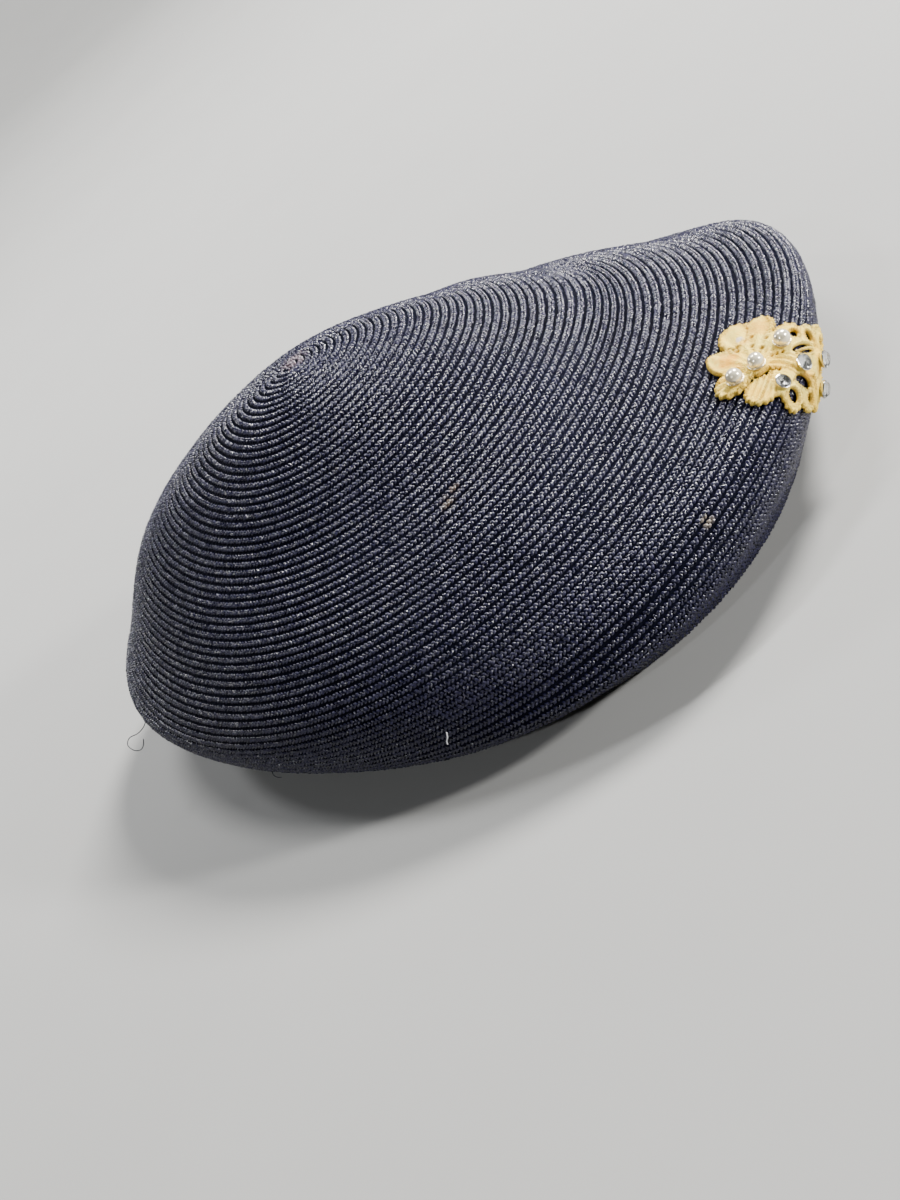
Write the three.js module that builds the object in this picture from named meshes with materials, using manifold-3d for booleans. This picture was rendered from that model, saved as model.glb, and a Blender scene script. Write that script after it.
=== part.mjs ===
// A straw cloche sewn from one braid, wound row on row from the tip to a rim that is turned under,
// with a pierced lace motif and small set stones on the front of the brim.
// Millimetres. +X is the front, +Y the wearer's left and +Z up; the rim stands on Z = 0.

import * as THREE from 'three';
import { mergeVertices } from 'three/addons/utils/BufferGeometryUtils.js';
import { TessellateModifier } from 'three/addons/modifiers/TessellateModifier.js';
import Module from 'manifold-3d';

const wasm = await Module();
wasm.setup();

// Driving dimensions of the straw shell
const ROW_COUNT = 68; // braid rows between the tip and the rim
const WALL = 2; // straw thickness, from the crest of a row to the inside
const GROOVE_DEPTH = 0.5; // how far the seam between two rows lies below their crests
const RIM_LAND = 2.4; // width of the flat edge that the hat stands on
const RING_SIDES = 30; // flats round each ring of the shell
const INSIDE_ROWS_PER_RING = 4; // the inside is smooth, so its rings lie further apart
const TIP_INSIDE_ROW = 2; // the innermost ring of the inside

// Driving dimensions of the trimming
const SEAT_GAP = 0.3; // clearance between two pieces that lie on each other
const LACE_THICKNESS = 1.2;
const LACE_EDGE_LENGTH = 5; // longest edge of a lace facet, so that it follows the brim
const OUTLINE_SIDES = 14; // flats round a petal
const HOLE_SIDES = 8; // flats round a pierced hole
const STONE_SIDES = 12;

// Where the motif's heart lies on the brim, and the millimetres that one row and one radian stand for
const MOTIF = { row: 50.9, angle: THREE.MathUtils.degToRad(-19.1), rowPitch: 2.65, radius: 103 };

/** Turn rows of values into objects with named columns. */
function table(columns, rows) {
  return rows.map((values) => Object.fromEntries(columns.map((name, i) => [name, values[i]])));
}

// Rings of the outer surface, a line for each: the braid row it stands for, where its middle lies
// along X, its half length and half width, its height in front, at the sides and behind, and its
// egg, the share by which it is wider in front and narrower behind.
const SECTION_COLUMNS = ['middle', 'halfLength', 'halfWidth', 'front', 'side', 'back', 'egg'];
const SECTIONS = table(['row', ...SECTION_COLUMNS], [
  [0, -11, 0, 0, 79.5, 79.5, 79.5, 0.15],
  [7, -13.5, 21, 15, 76.5, 77.5, 77, 0.15],
  [16, -15, 44, 32.5, 70, 68.5, 70, 0.14],
  [26, -16.5, 66.5, 53, 58.5, 54.5, 58.5, 0.13],
  [37, -14, 88.5, 74.5, 47, 40.5, 41, 0.12],
  [47, -9, 107.5, 89.5, 37, 26.5, 25.5, 0.12],
  [54, 3, 112.5, 94, 32, 15.5, 16, 0.16],
  [60, 7, 106.5, 92, 19, 7.5, 9, 0.26],
  [64, 7.5, 99.5, 86, 9, 4, 4.8, 0.26],
  [68, 8, 92.5, 80, 0, 0, 0, 0.26],
]);

// Dents in the straw, a line for each: the row and the angle in degrees of its middle, its depth, the
// share by which it draws the rows together, and its half sizes in rows and in degrees. A depth below
// zero is a bulge.
const DENTS = table(['row', 'angle', 'depth', 'pinch', 'halfRows', 'halfAngle'], [
  [35, 26, 2, 0.3, 4, 28], // in front, where the crown runs out into the brim
  [50, 45, 2.2, 0, 6, 14], // before the edge of the brim, towards the wearer's left
  [26, 50, -2, 0, 4, 30], // the crown's shoulder above the first dent
]);

// Solid areas of the lace, as leaves laid on the brim: the middle of each, measured out from the
// motif's heart across the rows and along them, its half sizes, its turn in degrees, and how
// pointed its ends are, 0 being an ellipse.
const LACE_AREAS = table(['out', 'along', 'halfOut', 'halfAlong', 'turn', 'point'], [
  [-1.4, 4.2, 5.4, 7.6, 0, 0], // heart
  [-7.2, 4.1, 6.3, 4.2, -19, 0.4], // pointed petal
  [-7.6, 13.4, 3.9, 4.8, 0, 0], // petal towards the crown, far side
  [-2.5, 14.2, 3.9, 5.1, 0, 0], // far petal
  [-4.5, -3.4, 3.8, 5, 0, 0], // petal towards the crown, near side
  [3.2, -7.6, 4.2, 4.8, 0, 0], // near petal
  [6.4, 1.3, 6.4, 2.9, 6, 0], // bar down to the edge
  [12.6, 4.8, 5.4, 3, 38, 0], // end of the bar, with its seat
  [5, 8.4, 4.8, 5.6, 0, 0], // far loop on the brim
  [11.4, 11.6, 3.9, 4.2, 0, 0], // far loop on the edge
  [17, 16.6, 4, 4.2, 0, 0], // last far loop
  [7.6, -4, 4, 4.4, 0, 0], // near seat
  [11.8, -5.2, 4, 4.2, 0, 0], // near loop on the brim
  [17.6, 0.4, 5.6, 3.6, 38, 0], // near loop on the edge
  [17.8, 10.4, 4.8, 4.6, 0, 0], // foot under the bar
  [23.2, 7.8, 4.6, 4.8, 0, 0], // foot on the front face
]);

// Holes pierced through the lace, in the same terms
const LACE_HOLES = table(['out', 'along', 'halfOut', 'halfAlong', 'turn', 'point'], [
  [6.5, 10.7, 1.1, 1, 0, 0],
  [11.4, 12.7, 1.5, 1.1, 0, 0],
  [17.4, 17.2, 0.9, 0.9, 0, 0],
  [10.5, 7.9, 3.8, 0.95, 39, 0],
  [13.9, 0.4, 3.8, 1, 31, 0],
  [11.9, -5.6, 1.6, 1.2, 20, 0],
  [18.7, 0.3, 1.7, 0.95, 38, 0],
]);

// Profiles of the stones, from the middle of the top down to the base, as shares of the radius. The
// foot of each is the shallow cup that it is set in.
const PROFILE_COLUMNS = ['reach', 'height'];
const PEARL_PROFILE = table(PROFILE_COLUMNS, [
  [0, 1.5],
  [0.48, 1.38],
  [0.84, 1.04],
  [0.98, 0.6],
  [0.88, 0.3],
  [0.96, 0.18],
  [0.8, 0],
]);
const CRYSTAL_PROFILE = table(PROFILE_COLUMNS, [
  [0, 0.92],
  [0.56, 0.92],
  [0.98, 0.5],
  [0.98, 0.38],
  [1.04, 0.3],
  [0.8, 0],
]);

// The stones: place on the motif and radius
const STONES = table(['name', 'profile', 'out', 'along', 'radius'], [
  ['pearl_heart', PEARL_PROFILE, 0, 0, 2.1],
  ['pearl_near_petal', PEARL_PROFILE, -3.6, -4, 2.1],
  ['pearl_far_loop', PEARL_PROFILE, 4.2, 6.8, 2.1],
  ['crystal_near_seat', CRYSTAL_PROFILE, 7.3, -5.5, 1.8],
  ['crystal_bar', CRYSTAL_PROFILE, 10.5, 2.4, 2.1],
  ['crystal_front_far', CRYSTAL_PROFILE, 17.9, 11.5, 2.1],
  ['crystal_front_near', CRYSTAL_PROFILE, 22.5, 7.4, 2.1],
]);

// The finishes
const STRAW = { color: 0x1b1d2e, roughness: 0.5, metalness: 0 };
const LACE = { color: 0xe6cb94, roughness: 0.85, metalness: 0 };
const PEARL = { color: 0xf1ead9, roughness: 0.25, metalness: 0.1 };
const CRYSTAL = { color: 0xdde3e6, roughness: 0.05, metalness: 0.2 };

/** Slope of a column at every section, from the parabola through it and its neighbours. */
function columnSlopes(column) {
  const spans = [];
  const rates = [];
  for (let i = 1; i < SECTIONS.length; i += 1) {
    const span = SECTIONS[i].row - SECTIONS[i - 1].row;
    spans.push(span);
    rates.push((SECTIONS[i][column] - SECTIONS[i - 1][column]) / span);
  }
  const last = SECTIONS.length - 1;
  const slopes = new Array(SECTIONS.length);
  for (let i = 1; i < last; i += 1) {
    slopes[i] = (rates[i - 1] * spans[i] + rates[i] * spans[i - 1]) / (spans[i - 1] + spans[i]);
  }
  slopes[0] = 2 * rates[0] - slopes[1];
  slopes[last] = 2 * rates[last - 1] - slopes[last - 1];
  return slopes;
}

const SLOPES = Object.fromEntries(SECTION_COLUMNS.map((column) => [column, columnSlopes(column)]));

/** The ring at any row, by cubics between the sections. */
function sectionAt(row) {
  let i = 0;
  while (i < SECTIONS.length - 2 && row > SECTIONS[i + 1].row) i += 1;
  const span = SECTIONS[i + 1].row - SECTIONS[i].row;
  const t = (row - SECTIONS[i].row) / span;
  const ring = {};
  for (const column of SECTION_COLUMNS) {
    const start = SECTIONS[i][column];
    const rise = SECTIONS[i + 1][column] - start;
    const leaving = SLOPES[column][i] * span;
    const arriving = SLOPES[column][i + 1] * span;
    const bend = 3 * rise - 2 * leaving - arriving;
    const twist = leaving + arriving - 2 * rise;
    ring[column] = start + t * (leaving + t * (bend + t * twist));
  }
  return ring;
}

/** How much of a dent is felt at a place: 1 in its middle, running out to 0. */
function dentShare(dent, row, angle) {
  const turn = angle - THREE.MathUtils.degToRad(dent.angle);
  const around = Math.atan2(Math.sin(turn), Math.cos(turn));
  const alongShare = around / THREE.MathUtils.degToRad(dent.halfAngle);
  const acrossShare = (row - dent.row) / dent.halfRows;
  return Math.exp(-(alongShare ** 2) - acrossShare ** 2);
}

/** A point of the outer surface: the crests of the rows. Angle 0 is the front. */
function crownPoint(row, angle) {
  let drawnRow = row;
  let drop = 0;
  for (const dent of DENTS) {
    const share = dentShare(dent, row, angle);
    drawnRow -= dent.pinch * (row - dent.row) * share;
    drop += dent.depth * share;
  }
  const ring = sectionAt(drawnRow);
  const mean = (ring.front + ring.back) / 4 + ring.side / 2;
  const pitch = (ring.front - ring.back) / 2;
  const saddle = (ring.front + ring.back) / 4 - ring.side / 2;
  const ahead = Math.cos(angle);
  return new THREE.Vector3(
    ring.middle + ring.halfLength * ahead,
    ring.halfWidth * Math.sin(angle) * (1 + ring.egg * ahead),
    mean + pitch * ahead + saddle * Math.cos(2 * angle) - drop,
  );
}

/** The outward normal of that surface. */
function crownNormal(row, angle) {
  const step = 0.05;
  const inner = Math.min(Math.max(row, 2 * step), ROW_COUNT - step);
  const across = crownPoint(inner + step, angle).sub(crownPoint(inner - step, angle));
  const along = crownPoint(inner, angle + step).sub(crownPoint(inner, angle - step));
  return across.cross(along).normalize();
}

/** A point that stands a height above the crests. */
function raisedPoint(row, angle, height) {
  return crownPoint(row, angle).addScaledVector(crownNormal(row, angle), height);
}

/** A ring of points, one for each flat. */
function ringOf(sides, pointAt) {
  return Array.from({ length: sides }, (_, i) => pointAt((2 * Math.PI * i) / sides));
}

/** One closed body through rings of points, drawn to a point at both ends. */
function ringBody(startPole, rings, endPole) {
  const sides = rings[0].length;
  const points = [startPole, ...rings.flat(), endPole];
  const end = points.length - 1;
  const at = (ring, side) => 1 + ring * sides + (side % sides);
  const index = [];
  for (let side = 0; side < sides; side += 1) {
    index.push(0, at(0, side), at(0, side + 1));
    for (let ring = 1; ring < rings.length; ring += 1) {
      index.push(at(ring - 1, side), at(ring, side), at(ring, side + 1));
      index.push(at(ring - 1, side), at(ring, side + 1), at(ring - 1, side + 1));
    }
    index.push(at(rings.length - 1, side), end, at(rings.length - 1, side + 1));
  }
  const geometry = new THREE.BufferGeometry().setFromPoints(points);
  geometry.setIndex(index);
  return geometry;
}

/** The straw shell: ribbed outside, smooth inside, open at the rim. */
function crownGeometry() {
  const rings = [];
  for (let half = 1; half < 2 * ROW_COUNT; half += 1) {
    const height = half % 2 === 0 ? -GROOVE_DEPTH : 0;
    rings.push(ringOf(RING_SIDES, (angle) => raisedPoint(half / 2, angle, height)));
  }
  rings.push(ringOf(RING_SIDES, (angle) => crownPoint(ROW_COUNT, angle)));
  rings.push(ringOf(RING_SIDES, (angle) => {
    const inward = crownNormal(ROW_COUNT, angle).setZ(0).normalize();
    return crownPoint(ROW_COUNT, angle).addScaledVector(inward, -RIM_LAND);
  }));
  for (let row = ROW_COUNT - 1; row >= TIP_INSIDE_ROW; row -= INSIDE_ROWS_PER_RING) {
    rings.push(ringOf(RING_SIDES, (angle) => raisedPoint(row, angle, -WALL)));
  }
  const tip = crownPoint(0, 0);
  return ringBody(tip, rings, tip.clone().setZ(tip.z - WALL));
}

/** A leaf or hole of the lace as a flat plate, drawn across and along the rows. */
function lacePlate(area, sides, low, high) {
  const turn = THREE.MathUtils.degToRad(area.turn);
  const outline = ringOf(sides, (angle) => {
    const rise = Math.sin(angle);
    return new THREE.Vector2(
      area.halfOut * Math.cos(angle),
      area.halfAlong * rise * Math.abs(rise) ** area.point,
    ).rotateAround(new THREE.Vector2(), turn).add(new THREE.Vector2(area.out, area.along));
  });
  const options = { depth: high - low, bevelEnabled: false };
  return new THREE.ExtrudeGeometry(new THREE.Shape(outline), options).translate(0, 0, low);
}

/** The same shape with its shared corners merged. */
function weld(geometry) {
  const bare = new THREE.BufferGeometry();
  bare.setAttribute('position', geometry.getAttribute('position'));
  bare.setIndex(geometry.getIndex());
  return mergeVertices(bare);
}

/** A solid for joining and cutting, from a closed geometry. */
function solidOf(geometry) {
  const welded = weld(geometry);
  const vertProperties = new Float32Array(welded.getAttribute('position').array);
  const triVerts = new Uint32Array(welded.getIndex().array);
  return new wasm.Manifold(new wasm.Mesh({ numProp: 3, vertProperties, triVerts }));
}

/** The geometry of a solid. */
function geometryOf(solid) {
  const { vertProperties, triVerts } = solid.getMesh();
  const geometry = new THREE.BufferGeometry();
  geometry.setAttribute('position', new THREE.BufferAttribute(vertProperties, 3));
  geometry.setIndex(new THREE.BufferAttribute(triVerts, 1));
  return geometry;
}

/** A place on the motif: the braid row and the angle round the crown. */
function motifPlace(out, along) {
  return [MOTIF.row + out / MOTIF.rowPitch, MOTIF.angle + along / MOTIF.radius];
}

/** The lace: leaves joined flat, pierced, and then laid over the brim and its edge. */
function laceGeometry() {
  const low = SEAT_GAP;
  const high = SEAT_GAP + LACE_THICKNESS;
  const overcut = LACE_THICKNESS;
  const areas = LACE_AREAS.map((area) => solidOf(lacePlate(area, OUTLINE_SIDES, low, high)));
  let lace = areas.reduce((joined, area) => joined.add(area));
  for (const hole of LACE_HOLES) {
    lace = lace.subtract(solidOf(lacePlate(hole, HOLE_SIDES, low - overcut, high + overcut)));
  }
  const rounds = 8;
  const flat = new TessellateModifier(LACE_EDGE_LENGTH, rounds).modify(geometryOf(lace));
  const position = flat.getAttribute('position');
  for (let i = 0; i < position.count; i += 1) {
    const [row, angle] = motifPlace(position.getX(i), position.getY(i));
    const laid = raisedPoint(row, angle, position.getZ(i));
    position.setXYZ(i, laid.x, laid.y, laid.z);
  }
  return weld(flat);
}

/** A stone in its cup, standing on Z = 0 and turned from its profile. */
function stoneGeometry(profile, radius) {
  const rings = profile.slice(1).map(({ reach, height }) => ringOf(STONE_SIDES, (angle) => (
    new THREE.Vector3(Math.cos(angle) * reach, Math.sin(angle) * reach, height)
  )));
  const top = new THREE.Vector3(0, 0, profile[0].height);
  return ringBody(top, rings, new THREE.Vector3()).scale(radius, radius, radius);
}

/** A named piece of the hat. */
function piece(name, geometry, finish) {
  const mesh = new THREE.Mesh(geometry, new THREE.MeshStandardMaterial(finish));
  mesh.name = name;
  return mesh;
}

/** A stone set square on the lace. */
function setStone({ name, profile, out, along, radius }) {
  const finish = profile === PEARL_PROFILE ? PEARL : CRYSTAL;
  const stone = piece(name, stoneGeometry(profile, radius), finish);
  const place = motifPlace(out, along);
  stone.position.copy(raisedPoint(...place, SEAT_GAP + LACE_THICKNESS + SEAT_GAP));
  stone.quaternion.setFromUnitVectors(new THREE.Vector3(0, 0, 1), crownNormal(...place));
  return stone;
}

const hat = new THREE.Group();
hat.add(piece('braid_crown', crownGeometry(), STRAW));
hat.add(piece('lace_motif', laceGeometry(), LACE));
hat.add(...STONES.map(setStone));

export default hat;
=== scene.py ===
"""Looks of a straw cloche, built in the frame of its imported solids.

The straw is one narrow braid laid row on row, and every strand of its plait is a small curved strip. The lace
is a pierced sheet with stitched edges, and the pearls and cut stones are turned and cut one by one.
"""

import logging
import math
from dataclasses import dataclass, field, fields
from enum import Enum

import bpy
import numpy as np
from mathutils import Matrix, Vector


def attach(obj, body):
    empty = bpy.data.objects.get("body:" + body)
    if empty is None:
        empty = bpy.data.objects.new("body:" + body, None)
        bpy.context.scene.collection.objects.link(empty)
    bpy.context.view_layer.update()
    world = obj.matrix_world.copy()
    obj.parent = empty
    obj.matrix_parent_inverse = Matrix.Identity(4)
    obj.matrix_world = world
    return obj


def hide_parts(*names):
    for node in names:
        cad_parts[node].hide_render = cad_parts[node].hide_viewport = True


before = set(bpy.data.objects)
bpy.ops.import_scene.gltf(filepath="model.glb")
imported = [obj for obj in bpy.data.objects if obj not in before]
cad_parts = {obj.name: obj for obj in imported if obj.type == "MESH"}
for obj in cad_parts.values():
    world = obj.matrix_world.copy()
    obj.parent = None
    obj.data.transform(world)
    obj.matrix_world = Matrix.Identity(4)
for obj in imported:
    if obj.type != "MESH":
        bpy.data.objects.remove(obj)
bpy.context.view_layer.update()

LOG = logging.getLogger("cloche")
MM = 0.001
TINY = 1e-6
SHORTEST = 1e-12
BODY = "root"

Array = np.ndarray
Colour = tuple[float, float, float, float]
Feed = float | int | tuple | str | bpy.types.NodeSocket


class Slot(Enum):
    """The record's material slots."""

    STRAW = "straw"
    LACE = "lace"
    PEARL = "pearl"
    CRYSTAL = "crystal"


class Graph:
    """A node tree under construction."""

    def __init__(self, tree: bpy.types.NodeTree) -> None:
        """Keep the tree that nodes are added to."""
        self.tree = tree

    def add(
        self, kind: str, feeds: dict[int | str, Feed] | None = None, **settings: object
    ) -> bpy.types.Node:
        """Add a node.

        Args:
            kind: The node's type name.
            feeds: A value or a socket for each input, by the input's name or number.
            settings: Properties of the node.

        Returns:
            The new node.
        """
        node = self.tree.nodes.new(kind)
        for name, value in settings.items():
            setattr(node, name, value)
        for place, value in (feeds or {}).items():
            self.feed(node.inputs[place], value)
        return node

    def feed(self, socket: bpy.types.NodeSocket, value: Feed) -> None:
        """Set an input to a value, or link it to a socket."""
        if isinstance(value, bpy.types.NodeSocket):
            self.tree.links.new(value, socket)
        else:
            socket.default_value = value

    def math(self, operation: str, first: Feed, second: Feed = 0.0) -> bpy.types.NodeSocket:
        """The result of one sum on two numbers."""
        return self.add("ShaderNodeMath", {0: first, 1: second}, operation=operation).outputs[0]

    def vector(self, operation: str, first: Feed, second: Feed) -> bpy.types.NodeSocket:
        """The result of one sum on two vectors."""
        return self.add("ShaderNodeVectorMath", {0: first, 1: second}, operation=operation).outputs["Vector"]

    def scaled(self, vector: Feed, factor: Feed) -> bpy.types.NodeSocket:
        """A vector times a number."""
        node = self.add("ShaderNodeVectorMath", {"Vector": vector, "Scale": factor}, operation="SCALE")
        return node.outputs["Vector"]

    def xyz(self, x: Feed, y: Feed, z: Feed) -> bpy.types.NodeSocket:
        """A vector from three numbers."""
        return self.add("ShaderNodeCombineXYZ", {"X": x, "Y": y, "Z": z}).outputs["Vector"]

    def blend(self, share: Feed, first: Feed, second: Feed) -> bpy.types.NodeSocket:
        """A colour between two colours."""
        node = self.add("ShaderNodeMix", {0: share, 6: first, 7: second}, data_type="RGBA")
        return node.outputs[2]

    def ramped(self, value: Feed, low: float, high: float, start: float, end: float) -> bpy.types.NodeSocket:
        """A number taken from one range to another, and held at its ends."""
        feeds = {"Value": value, "From Min": low, "From Max": high, "To Min": start, "To Max": end}
        return self.add("ShaderNodeMapRange", feeds).outputs["Result"]


# The form of the straw


@dataclass(frozen=True)
class Ring:
    """One ring of the outer surface, in millimetres.

    It has its number, counted in rows from the tip, where its middle lies along X, its half length and half
    width, its height in front, at the sides and behind, and its egg, the share by which it is wider in front.
    """

    row: float
    middle: float
    half_length: float
    half_width: float
    front: float
    side: float
    back: float
    egg: float


@dataclass(frozen=True)
class Dent:
    """A dent in the straw, or a bulge where its depth is below zero.

    It has its middle, its depth in millimetres, the share by which it draws the rows together, and its half
    sizes in rows and degrees.
    """

    row: float
    angle: float
    depth: float
    pinch: float
    half_rows: float
    half_angle: float


RINGS = (
    Ring(0, -11, 0, 0, 79.5, 79.5, 79.5, 0.15),
    Ring(7, -13.5, 21, 15, 76.5, 77.5, 77, 0.15),
    Ring(16, -15, 44, 32.5, 70, 68.5, 70, 0.14),
    Ring(26, -16.5, 66.5, 53, 58.5, 54.5, 58.5, 0.13),
    Ring(37, -14, 88.5, 74.5, 47, 40.5, 41, 0.12),
    Ring(47, -9, 107.5, 89.5, 37, 26.5, 25.5, 0.12),
    Ring(54, 3, 112.5, 94, 32, 15.5, 16, 0.16),
    Ring(60, 7, 106.5, 92, 19, 7.5, 9, 0.26),
    Ring(64, 7.5, 99.5, 86, 9, 4, 4.8, 0.26),
    Ring(68, 8, 92.5, 80, 0, 0, 0, 0.26),
)
DENTS = (
    Dent(35, 26, 2, 0.3, 4, 28),
    Dent(50, 45, 2.2, 0, 6, 14),
    Dent(26, 50, -2, 0, 4, 30),
)


@dataclass
class CrownForm:
    """The outer surface that the crests of the braid rows lie on. Angle 0 is the front."""

    rings: tuple[Ring, ...] = RINGS
    dents: tuple[Dent, ...] = DENTS
    last_row: float = 68.0
    probe: float = 0.05
    rows: Array = field(init=False)
    values: Array = field(init=False)
    slopes: Array = field(init=False)

    def __post_init__(self) -> None:
        """Work out the slope of every column at every ring, from the parabola through its neighbours."""
        columns = ("middle", "half_length", "half_width", "front", "side", "back", "egg")
        self.rows = np.array([ring.row for ring in self.rings], float)
        self.values = np.array([[getattr(ring, name) for name in columns] for ring in self.rings], float)
        spans = np.diff(self.rows)[:, None]
        rates = np.diff(self.values, axis=0) / spans
        inner = (rates[:-1] * spans[1:] + rates[1:] * spans[:-1]) / (spans[:-1] + spans[1:])
        first = 2 * rates[:1] - inner[:1]
        last = 2 * rates[-1:] - inner[-1:]
        self.slopes = np.concatenate([first, inner, last])

    def section(self, row: Array) -> Array:
        """The ring's sizes at any row, by cubics between the rings.

        Args:
            row: Braid rows counted from the tip.

        Returns:
            The columns of the ring, in the last axis.
        """
        index = np.clip(np.searchsorted(self.rows, row, side="right") - 1, 0, len(self.rows) - 2)
        span = (self.rows[index + 1] - self.rows[index])[..., None]
        share = (row - self.rows[index])[..., None] / span
        start = self.values[index]
        rise = self.values[index + 1] - start
        leaving = self.slopes[index] * span
        arriving = self.slopes[index + 1] * span
        bend = 3 * rise - 2 * leaving - arriving
        twist = leaving + arriving - 2 * rise
        return start + share * (leaving + share * (bend + share * twist))

    def point(self, row: Array, angle: Array) -> Array:
        """Points of the surface.

        Args:
            row: Braid rows counted from the tip.
            angle: Angles round the crown in radians.

        Returns:
            Points in metres, in the last axis.
        """
        row, angle = np.broadcast_arrays(np.asarray(row, float), np.asarray(angle, float))
        drawn = row.copy()
        drop = np.zeros_like(row)
        for dent in self.dents:
            turn = angle - math.radians(dent.angle)
            around = np.arctan2(np.sin(turn), np.cos(turn)) / math.radians(dent.half_angle)
            across = (row - dent.row) / dent.half_rows
            share = np.exp(-(around**2) - across**2)
            drawn = drawn - dent.pinch * (row - dent.row) * share
            drop = drop + dent.depth * share
        middle, half_length, half_width, front, side, back, egg = np.moveaxis(self.section(drawn), -1, 0)
        ahead = np.cos(angle)
        mean = (front + back) / 4 + side / 2
        pitch = (front - back) / 2
        saddle = (front + back) / 4 - side / 2
        x = middle + half_length * ahead
        y = half_width * np.sin(angle) * (1 + egg * ahead)
        z = mean + pitch * ahead + saddle * np.cos(2 * angle) - drop
        return np.stack([x, y, z], axis=-1) * MM

    def across(self, row: Array, angle: Array) -> Array:
        """Metres that one row takes up, as a vector towards the rim."""
        inner = np.clip(row, 2 * self.probe, self.last_row - self.probe)
        step = self.point(inner + self.probe, angle) - self.point(inner - self.probe, angle)
        return step / (2 * self.probe)

    def normal(self, row: Array, angle: Array) -> Array:
        """Outward unit normals of the surface."""
        inner = np.clip(row, 2 * self.probe, self.last_row - self.probe)
        along = self.point(inner, angle + self.probe) - self.point(inner, angle - self.probe)
        return unit(np.cross(self.across(row, angle), along))

    def raised(self, row: Array, angle: Array, height: Array | float) -> Array:
        """Points that stand a height in millimetres above the crests."""
        lift = np.asarray(height, float)[..., None] * MM
        return self.point(row, angle) + self.normal(row, angle) * lift


def unit(vectors: Array) -> Array:
    """The same directions with length 1."""
    return vectors / np.maximum(np.linalg.norm(vectors, axis=-1, keepdims=True), SHORTEST)


def mesh_object(name: str, points: Array, faces: list, edges: list | None = None) -> bpy.types.Object:
    """Link a new mesh object made from arrays.

    Args:
        name: The object's name.
        points: Its corners in metres.
        faces: Its faces as lists of corner numbers.
        edges: Its loose edges, for a path.

    Returns:
        The linked object, at the origin.
    """
    mesh = bpy.data.meshes.new(name)
    mesh.from_pydata(np.asarray(points).tolist(), edges or [], faces)
    mesh.update()
    made = bpy.data.objects.new(name, mesh)
    bpy.context.scene.collection.objects.link(made)
    return made


def finish_piece(piece: bpy.types.Object, slot: Slot, *nodes: str) -> bpy.types.Object:
    """Let a piece ride on the hat and stand for solids.

    Args:
        piece: The finished object.
        slot: The record's slot for the piece; not used.
        nodes: The solids that it stands for.

    Returns:
        The same object.
    """
    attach(piece, BODY)
    if nodes:
        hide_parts(*nodes)
    piece.data.calc_loop_triangles()
    LOG.info("%s: %d triangles", piece.name, len(piece.data.loop_triangles))
    return piece


def smooth_faces(made: bpy.types.Object) -> None:
    """Shade all faces of an object smoothly."""
    made.data.polygons.foreach_set("use_smooth", [True] * len(made.data.polygons))


def lay_uv(made: bpy.types.Object, places: Array) -> None:
    """Give a mesh a UV map from one place for each of its corners."""
    corners = np.zeros(len(made.data.loops), np.int32)
    made.data.loops.foreach_get("vertex_index", corners)
    layer = made.data.uv_layers.new(name="UVMap")
    layer.data.foreach_set("uv", np.asarray(places, np.float32)[corners].ravel())


def lay_painted_shade_and_tone(made: bpy.types.Object, shade: Array) -> None:
    """Give each point of a mesh its share of the dark colour: painted shade in hollows, tone on stitches."""
    layer = made.data.attributes.new("crevice", "FLOAT", "POINT")
    layer.data.foreach_set("value", shade.astype(np.float32))


# Strands laid along paths


@dataclass
class Path:
    """A line on the hat, with the directions that strands on it take.

    Attributes:
        points: Its points in metres.
        up: The outward normal at each point.
        run: The way along the path at each point.
        pitch: The width of the row at each point, in metres.
        closed: Whether its last point joins its first.
    """

    points: Array
    up: Array
    run: Array
    pitch: Array
    closed: bool = False

    def part(self, index: Array) -> "Path":
        """The path's points of some numbers, as an open path."""
        return Path(self.points[index], self.up[index], self.run[index], self.pitch[index])


def paths_object(name: str, paths: list[Path]) -> bpy.types.Object:
    """One mesh of loose edges for several paths, with their directions as attributes.

    Args:
        name: The object's name.
        paths: The paths to hold.

    Returns:
        The linked object.
    """
    edges = []
    start = 0
    for path in paths:
        count = len(path.points)
        edges += [(start + i, start + i + 1) for i in range(count - 1)]
        if path.closed:
            edges.append((start + count - 1, start))
        start += count
    made = mesh_object(name, np.concatenate([path.points for path in paths]), [], edges)
    for title in ("up", "run"):
        layer = made.data.attributes.new(title, "FLOAT_VECTOR", "POINT")
        layer.data.foreach_set("vector", np.concatenate([getattr(path, title) for path in paths]).ravel())
    layer = made.data.attributes.new("pitch", "FLOAT", "POINT")
    layer.data.foreach_set("value", np.concatenate([path.pitch for path in paths]))
    return made


@dataclass(frozen=True)
class StrandStyle:
    """How strands lie along a path: sizes in metres and angles in radians."""

    spacing: float
    length: float
    width: float
    height: float
    lift: float
    side: float
    slant: float
    roll: float
    tuck: float
    pitch: float
    jitter: float
    sway: float
    two_lines: bool
    seed: int


SOCKET_KINDS = {float: "NodeSocketFloat", bool: "NodeSocketBool", int: "NodeSocketInt"}


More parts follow.
